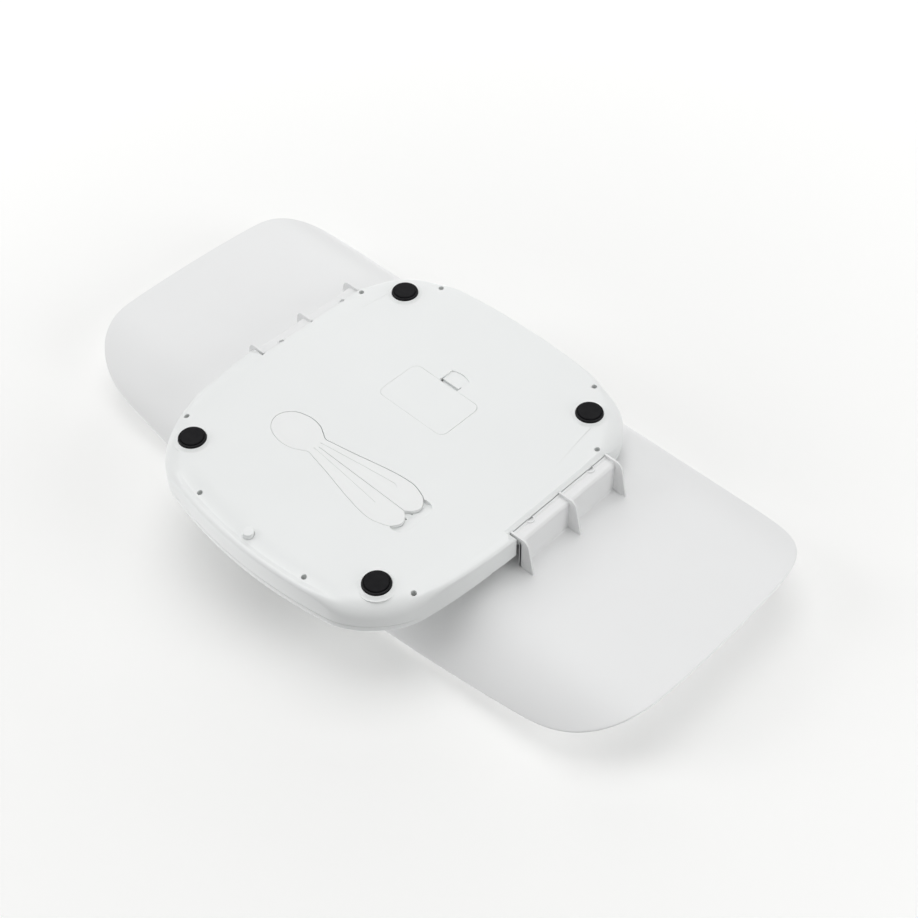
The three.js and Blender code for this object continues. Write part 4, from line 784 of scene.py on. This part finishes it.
finished("upper_shell", upperShell(), "whiteShell", "base", ["upper_housing"])
print("upper shell made")


# Tray: one sheet, flat in the middle and rolled up along both long sides
tray = Settings(
    halfX=321.5, reach=(155.8, 155.8), corner=(86, 86), squareness=3.1, sideBow=(7.2, 7.2),
    endBow=(18.5, 18.5), centreY=42, thickness=2.6, floorHalf=84, arc=76.5, under=40.5, edge=1.1, rim=4,
    middle=(0.72, 0.4), middleReach=100,
)
trayTop = tray.under + 1  # a millimetre into the sheet, where the hooks and gussets end


# A point of the sheet at a depth from its outer face
def trayPoint(x, y, depth):
    sign, over = copysign(1, y), abs(y) - tray.floorHalf
    if over <= 0:
        return Vector((x, y + tray.centreY, tray.under + depth))
    angle = asin(min(1, over / tray.arc))
    radius = tray.arc - depth
    return Vector((x, sign * (tray.floorHalf + radius * sin(angle)) + tray.centreY,
                   tray.under + tray.arc - radius * cos(angle)))


# The tray's outline drawn in: square to its edge at first, then towards a small middle outline
def trayRing(outline, inset, depth):
    points = []
    for i, p in enumerate(outline):
        along = (outline[(i + 1) % len(outline)] - outline[i - 1]).normalized()
        middle = Vector((p.x * tray.middle[0], p.y * tray.middle[1]))
        share = min(1, max(0, (inset - tray.rim) / tray.middleReach))
        q = p + Vector((-along.y, along.x)) * min(inset, tray.rim)
        q = q.lerp(middle, share)
        points.append(trayPoint(q.x, q.y, depth))
    return points


def traySheet():
    outline = [Vector((p[0], p[1])) for p in bowedOutline(tray, cornerSteps=36, sideSteps=48)]
    insets = [104, 96, 88, 80, 72, 64, 56, 49, 42, 36, 30, 25, 20, 16, 12, 9, 6, 4, 2.4]
    edge, thick = tray.edge, tray.thickness
    rounds = [(edge * (1 - cos(a)), edge * (1 - sin(a))) for a in quarterTurn(5)]
    rings = [trayRing(outline, inset, 0) for inset in insets]
    rings += [trayRing(outline, inset, depth) for inset, depth in reversed(rounds)]
    rings += [trayRing(outline, inset, thick - depth) for inset, depth in rounds]
    return lofted(rings + [trayRing(outline, inset, thick) for inset in reversed(insets)])


finished("tray_sheet", traySheet(), "whiteTray", "tray", ["tray"])
print("tray sheet made")


# Tray hooks: a flange under the base, a web up its side and three gussets
def curve(start, control, end, steps):
    def at(t):
        return tuple((1 - t) ** 2 * a + 2 * t * (1 - t) * c + t * t * b for a, c, b in zip(start, control, end))

    return [at(s / steps) for s in range(1, steps + 1)]


# The flange's edge: a bead with a collar round each notch
def hookBead(low):
    flange, front, back = hook.flange, hook.front, hook.back
    edge, sink, reach = low - hook.beadHeight, hook.beadSink, flange + hook.bead
    crest, foot = hook.beadSlope
    section = [(flange, edge), (reach - crest, edge), (reach + foot, low + sink), (flange, low + sink)]
    lowest, radius = edge - hook.collarRise, hook.notch + hook.bead
    collars = gathered([rod(flange, y, lowest, low + overlap, radius, 40) for y in hook.notches])
    half = block(flange, hook.inner, front, back, below, above)
    return [acrossY(section, front, back), carved(collars, [half], "INTERSECT")]


def hookBody(side):
    inner, outer, flange, bend = hook.inner, hook.outer, hook.flange, hook.round
    low, top = hook.height, hook.height + hook.wall
    profile = [(flange, low)]
    profile += [(outer - bend + bend * sin(a), low + bend - bend * cos(a)) for a in quarterTurn(10)]
    profile += [(outer + out, trayTop - down) for out, down in hook.footFillet] + [(inner, trayTop)]
    profile += [(inner - reach, top + rise) for reach, rise in hook.innerFillet] + [(flange, top)]
    bm = carved(acrossY(profile, hook.front, hook.back), hookBead(low), "UNION")
    bm = carved(bm, [rod(flange, y, below, hook.notchTop, hook.notch, 32) for y in hook.notches])
    softened(bm, 0.35, 3, 40, lambda e: min(heights(e)) < low + 0.5 and max(heights(e)) < top - 0.2)
    return sided(bm, side)


def gusset(side, y):
    inner, flange, turn = hook.inner, hook.flange, hook.turn
    low, sink = hook.height + overlap, inner + hook.gussetSink
    shoulder = (inner + hook.shoulder, hook.height - hook.proud)
    foot = (hook.outer + hook.gussetFoot, trayTop)

    def past(across, upward):
        return shoulder[0] + across * turn, shoulder[1] + upward * turn

    middle = past(1.3, 1.3)
    outline = [(flange, low), (flange, shoulder[1]), shoulder]
    outline += curve(shoulder, past(1, 0), middle, 12) + curve(middle, past(1.6, 3), foot, 14)
    outline += [(sink, trayTop), (sink, low)]
    bm = acrossY(outline, y, y + hook.gusset)
    softened(bm, 0.3, 3, 50)
    return sided(bm, side)


for side, word in ((1, "right"), (-1, "left")):
    finished(f"hook_{word}", hookBody(side), "whiteTray", "tray")
    for g in range(3):
        y = hook.front + g * (hook.length - hook.gusset) / 2
        finished(f"gusset_{word}_{g + 1}", gusset(side, y), "whiteTray", "tray")
print("hooks made")


# Feet: a rubber pad let into a black ring, inside a raised collar of the shell
footSize = Settings(
    ring=11.75, bottom=1.0, top=9.7, pad=9.9, padDepth=2.3, edge=0.9,
    innerRound=((0, 0.5), (0.12, 0.2), (0.4, 0)), crown=((0, 0.12), (0.55, 0.09), (0.8, 0.02)),
    outerRound=((0.6, 0), (0.25, 0.12), (0.05, 0.4), (0, 0.7)),
    collarRound=((0, 0.3), (0.12, 0.08), (0.35, 0)), collarTop=7, flankTop=6, steps=96,
)
footSize["seat"] = footSize.bottom + footSize.padDepth + fit


def footRing(x, y):
    outer, low, inner = footSize.ring, footSize.bottom, footSize.pad + fit
    profile = [(0, footSize.seat), (inner, footSize.seat)]
    profile += [(inner + out, low + rise) for out, rise in footSize.innerRound]
    profile += [(outer - back, low + rise) for back, rise in footSize.outerRound]
    return spun(x, y, profile + [(outer, footSize.top), (0, footSize.top)], footSize.steps)


def footPad(x, y):
    pad, soft, top = footSize.pad, footSize.edge, footSize.seat - fit
    profile = [(pad * share, z) for share, z in footSize.crown]
    profile += [(pad - soft + soft * sin(a), soft - soft * cos(a)) for a in quarterTurn(8)]
    return spun(x, y, profile + [(pad, top), (0, top)], footSize.steps)


def footCollar(x, y):
    inner, wide, width = feet.hole, feet.hole + feet.collarWidth, feet.flank
    lip, start = base.underside - feet.collarDrop, (inner, footSize.collarTop)
    profile = [start] + [(inner + out, lip + rise) for out, rise in footSize.collarRound]
    profile += [(wide - 0.35, lip), (wide, lip + 0.1)]
    for share in (0.2, 0.4, 0.6, 0.8, 1):
        rise = (base.underside - lip + 0.1) * (1 - (1 - share) ** 2)
        profile.append((wide + width * share, lip + 0.1 + rise))
    return spun(x, y, profile + [(wide + width, footSize.flankTop), start], footSize.steps)


for k, (x, y) in enumerate(footPlaces, 1):
    finished(f"foot_ring_{k}", footRing(x, y), "blackShell", "base", [f"foot_carrier_{k}"])
    finished(f"rubber_pad_{k}", footPad(x, y), "blackRubber", "base", [f"foot_pad_{k}"])
    finished(f"foot_collar_{k}", footCollar(x, y), "whiteShell", "base")
print("feet made")


# Screws, deep in their holes
screw = Settings(
    head=2.1, headHeight=1.8, crown=0.05, edge=((0.5, 0.12), (0, 0.55)), shank=1.1, length=14, point=1.5,
    cross=1.3, slot=0.3, slotDepth=0.8,
)


def screwBody(x, y, z):
    head, shank, top = screw.head, screw.shank, z + screw.headHeight
    end = top + screw.length
    profile = [(0, z - screw.crown), (head * 0.5, z)]
    profile += [(head - back, z + rise) for back, rise in screw.edge]
    profile += [(head, top), (shank, top), (shank, end - screw.point), (0, end)]
    arm, half, deep = screw.cross, screw.slot, z + screw.slotDepth
    cross = [block(x - across, x + across, y - along, y + along, z - overlap, deep)
             for across, along in ((arm, half), (half, arm))]
    return carved(spun(x, y, profile, 32), cross)


for k, (x, y) in enumerate(screwPlaces, 1):
    body = screwBody(x, y, screws.depth)
    finished(f"recessed_screw_{k}", body, "screwNickel", "base", [f"housing_screw_{k}"])
print("screws made")


# Battery door, held by two toes at its south edge, and its latch
def doorToe(side):
    start, end = door.toeFoot
    x, sink, turn = (west + east) / 2 + side * door.toeX, doorTop - 0.6, door.toeRound
    top, tip = doorTop + fit + door.toeThickness, south + fit - door.toeReach
    toe = [(south + start, sink), (south + end, sink), (south + end, top - turn), (south + end - turn, top),
           (tip + turn, top), (tip, top - turn), (tip, doorTop + fit), (south + start, doorTop + fit)]
    return acrossX(toe, x - door.toeHalf, x + door.toeHalf)


def batteryDoor():
    under = base.underside
    bm = block(*door.sides, under, doorTop, door.corner, 14)
    softened(bm, 0.3, 3, 60, lambda e: max(heights(e)) < under + 0.1)
    return carved(bm, [doorToe(side) for side in bothSides], "UNION")


def doorLatch():
    under, top, half = base.underside, doorTop + fit + latch.thickness, latch.half
    back, end = north - latch.hold, latchFront + latch.tongue
    section = [(latchFront, under + latch.lift), (end, under + latch.lift), (end, floorTop + fit),
               (end + latch.nose, floorTop + fit), (end + latch.nose, top), (latchFront, top)]
    tongue = acrossX(section, -half, half)
    softened(tongue, 0.25, 3, 60, lambda e: max(heights(e)) < under + 1)
    side, low = latch.armHalf, top - latch.armThickness
    arm = block(-side, side, back, latchFront + overlap, low, top)
    plate = block(-half, half, back, back + latch.plate, doorTop + fit, top)
    return carved(tongue, [arm, plate], "UNION")


finished("bay_door", batteryDoor(), "whiteShell", "door", ["battery_door"])
finished("latch_tongue", doorLatch(), "whiteShell", "latch", ["door_latch"])
print("battery door made")


# Stowed tool: two prongs from one round head, each with a sunk panel
def toolPanel(side):
    outline = [(30, 4.2)]
    curves = (((-10, 10.5), (-46, 15.2), 14), ((-54, 13.5), (-49, 9.6), 6), ((-10, 6), (30, 3.2), 14))
    for control, end, steps in curves:
        outline += curve(outline[-1], control, end, steps)
    points = [(x, tool.y + side * across) for x, across in outline]
    return raisedOutline(points, 0, base.underside + tool.panelDepth)


def stowedTool():
    under, y, half = base.underside, tool.y, tool.slit / 2
    bm = raisedOutline(toolOutline(0), under, under + tool.thickness)
    slit = block(tool.slitStart - tool.tip, tool.slitEnd, y - half, y + half, 0, 20)
    bm = carved(bm, [slit, gathered([toolPanel(side) for side in bothSides])])
    softened(bm, 0.25, 3, 50, levelWith(under))
    return bm


finished("stowed_prongs", stowedTool(), "whiteTool", "tool", ["stowed_tool"])
print("tool made")


# Keys, unit button and display window
keyCap = Settings(
    top=0.4, dish=((0, 0.45), (0.35, 0.38), (0.7, 0.12)), edge=0.9, flange=1.4, flangeTop=-3.9,
    flangeLow=-5, stem=2.5, stemLow=-5.3,
)


def fillet(radius, z, edge, upward):
    points = []
    for a in quarterTurn(6):
        points.append((radius - edge + edge * sin(a), z + upward * (edge - edge * cos(a))))
    return points


def topKey(x):
    top, key, stem = keyCap.top, panel.key, keyCap.stem
    wide, low = key + keyCap.flange, keyCap.flangeLow
    profile = [(key * share, top - drop) for share, drop in keyCap.dish]
    profile += fillet(key, top, keyCap.edge, -1)
    profile += [(key, keyCap.flangeTop), (wide, keyCap.flangeTop), (wide, low), (stem, low),
                (stem, keyCap.stemLow), (0, keyCap.stemLow)]
    return tipped(spun(x, 0, profile, 96))


def unitPeg():
    low, radius, wide, stem = unit.low, unit.radius, unit.flange, unit.stem
    start, end, high = unit.flangeLow, unit.flangeTop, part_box("unit_button")[1].z * 1000
    profile = [(0, low), (unit.flat, low)] + fillet(radius, low, unit.edge, 1)
    profile += [(radius, start), (wide, start), (wide, end), (stem, end), (stem, high), (0, high)]
    return spun(*unitPlace, profile, 64)


def windowGlass():
    width, depth = (v / 2 for v in panel.window)
    low, high = -panel.sink - panel.glass, -panel.sink
    glass = tipped(block(-width, width, -depth, depth, low, high, panel.glassCorner, 8))
    return softened(glass, 0.25, 3, 60)


for word, side in (("power", -1), ("hold", 1)):
    cap = topKey(side * panel.keyX)
    finished(f"{word}_key_cap", cap, "greyKey", f"{word}_key", [f"{word}_button"])
finished("unit_peg", unitPeg(), "whiteShell", "unit_key", ["unit_button"])
finished("window_glass", windowGlass(), "darkLens", "base", ["display_window"])
print("keys and window made")


# Carried-over nodes and their finishes
def numbered(name, count):
    return [f"{name}_{k}" for k in range(1, count + 1)]


carried = {
    "rolledSteel": numbered("load_cell", 4),
    "lcdGlass": ["lcd_panel"],
    "blackShell": ["lcd_frame", "power_switch", "hold_switch", "unit_switch"],
    "blackRubber": ["elastomer_strip"],
    "boardLacquer": ["main_board"],
    "screwNickel": ["board_screw_1", "board_screw_2", "contact_minus", "contact_bridge_left",
                    "contact_bridge_right", "contact_plus"],
    "batteryFilm": numbered("battery", 3),
    "sleeveWhite": numbered("back_cell_lead", 2) + numbered("front_cell_lead", 2),
    "sleeveRed": ["supply_lead_red"],
    "sleeveBlack": ["supply_lead_black"],
}
for look, names in carried.items():
    for name in names:
        nodes[name].data.materials.clear()
        nodes[name].data.materials.append(finishes[look])
print("carried-over nodes given their finishes")


# Two floors, each seen only from the side that the object is on: one where the tray's rim rests in the
# photograph, seen from below, and one under the feet, seen from above. Other rays pass through both.
# The floor's glow is weaker near the object than far out, so the floor round the object is painted darker:
# painted shade on top of the floor's real shadows from the lamps.
stage = Settings(
    half=6, gap=0.0004, colour=(0.955, 0.955, 0.945), glow=(0.036, 0.15), reach=(0.36, 0.95),
)


def floorMaterial():
    material = bpy.data.materials.new("paleFloor")
    material.use_nodes = True
    tree = material.node_tree
    tree.nodes.clear()
    output = added(tree, "OutputMaterial")
    path = added(tree, "LightPath")
    side = added(tree, "NewGeometry")
    front = added(tree, "Math")
    front.operation = "SUBTRACT"
    front.use_clamp = True
    paper = added(tree, "BsdfDiffuse")
    given(paper, {"Color": (*stage.colour, 1)})
    place = added(tree, "TexCoord")
    distance = added(tree, "VectorMath")
    distance.operation = "LENGTH"
    tree.links.new(place.outputs["Object"], distance.inputs[0])
    # Glow that grows with distance from the object's middle: painted shade near the object, an evenly pale
    # floor further out
    glow = added(tree, "Emission")
    spread = between(tree, distance.outputs["Value"], *stage.glow, *stage.reach)
    tree.links.new(spread, glow.inputs["Strength"])
    both = added(tree, "AddShader")
    clear = added(tree, "BsdfTransparent")
    mix = added(tree, "MixShader")
    for source, target in (
        (path.outputs["Is Camera Ray"], front.inputs[0]), (side.outputs["Backfacing"], front.inputs[1]),
        (paper.outputs[0], both.inputs[0]), (glow.outputs[0], both.inputs[1]),
        (front.outputs[0], mix.inputs[0]), (clear.outputs[0], mix.inputs[1]), (both.outputs[0], mix.inputs[2]),
        (mix.outputs[0], output.inputs["Surface"]),
    ):
        tree.links.new(source, target)
    return material


def floorSheet(name, height, facing):
    bm = bmesh.new()
    bmesh.ops.create_grid(bm, x_segments=1, y_segments=1, size=stage.half)
    bmesh.ops.translate(bm, vec=(0, 0, height), verts=bm.verts)
    if facing < 0:
        bmesh.ops.reverse_faces(bm, faces=bm.faces)
    sheet = shown(name, bm)
    sheet.data.materials.append(paleFloor)


paleFloor = floorMaterial()
floorSheet("floor_under_tray", cadBox[1].z + stage.gap, -1)
floorSheet("floor_under_feet", cadBox[0].z - stage.gap, 1)


# Light: a plain surround, and on each side of the object a large soft lamp, with the same angles
light = {"surround": 0.39, "middle": (0, 0, 0.04), "lamps": {
    "Main": (55, 3.2, (0.6, 0.8, 4.0)),
    "Side": (35, 2.0, (2.6, -2.4, 1.9)),
    "Low": (21, 1.5, (-2.6, 0.9, 1.2)),
    "Top": (10.5, 1.8, (1.8, 2.0, 1.6)),
    "Near": (8, 1.8, (1.4, -0.9, 3.2)),
}}
world = bpy.data.worlds.new("plainSurround")
bpy.context.scene.world = world
world.use_nodes = True
tree = world.node_tree
surround = tree.nodes["Background"]
path = added(tree, "LightPath")
bright = path.outputs["Is Camera Ray"]
for kind in ("Is Glossy Ray", "Is Transmission Ray"):
    either = added(tree, "Math")
    either.operation = "MAXIMUM"
    tree.links.new(bright, either.inputs[0])
    tree.links.new(path.outputs[kind], either.inputs[1])
    bright = either.outputs[0]
level = between(tree, bright, light["surround"], 1.0, 0, 1)
given(surround, {"Color": (1, 1, 1, 1)})
tree.links.new(level, surround.inputs["Strength"])
for name, (power, size, (x, y, z)) in light["lamps"].items():
    for word, facing in (("Below", -1), ("Above", 1)):
        lampData = bpy.data.lights.new(f"lamp{name}{word}", "AREA")
        lampData.energy = power
        lampData.size = size
        lamp = bpy.data.objects.new(lampData.name, lampData)
        bpy.context.scene.collection.objects.link(lamp)
        lamp.location = (x, y, facing * z)
        aim = Vector(light["middle"]) - lamp.location
        lamp.rotation_euler = aim.to_track_quat("-Z", "Y").to_euler()
        lamp.visible_camera = False
print("stage and lights set")

bpy.context.scene.view_settings.view_transform = "Standard"
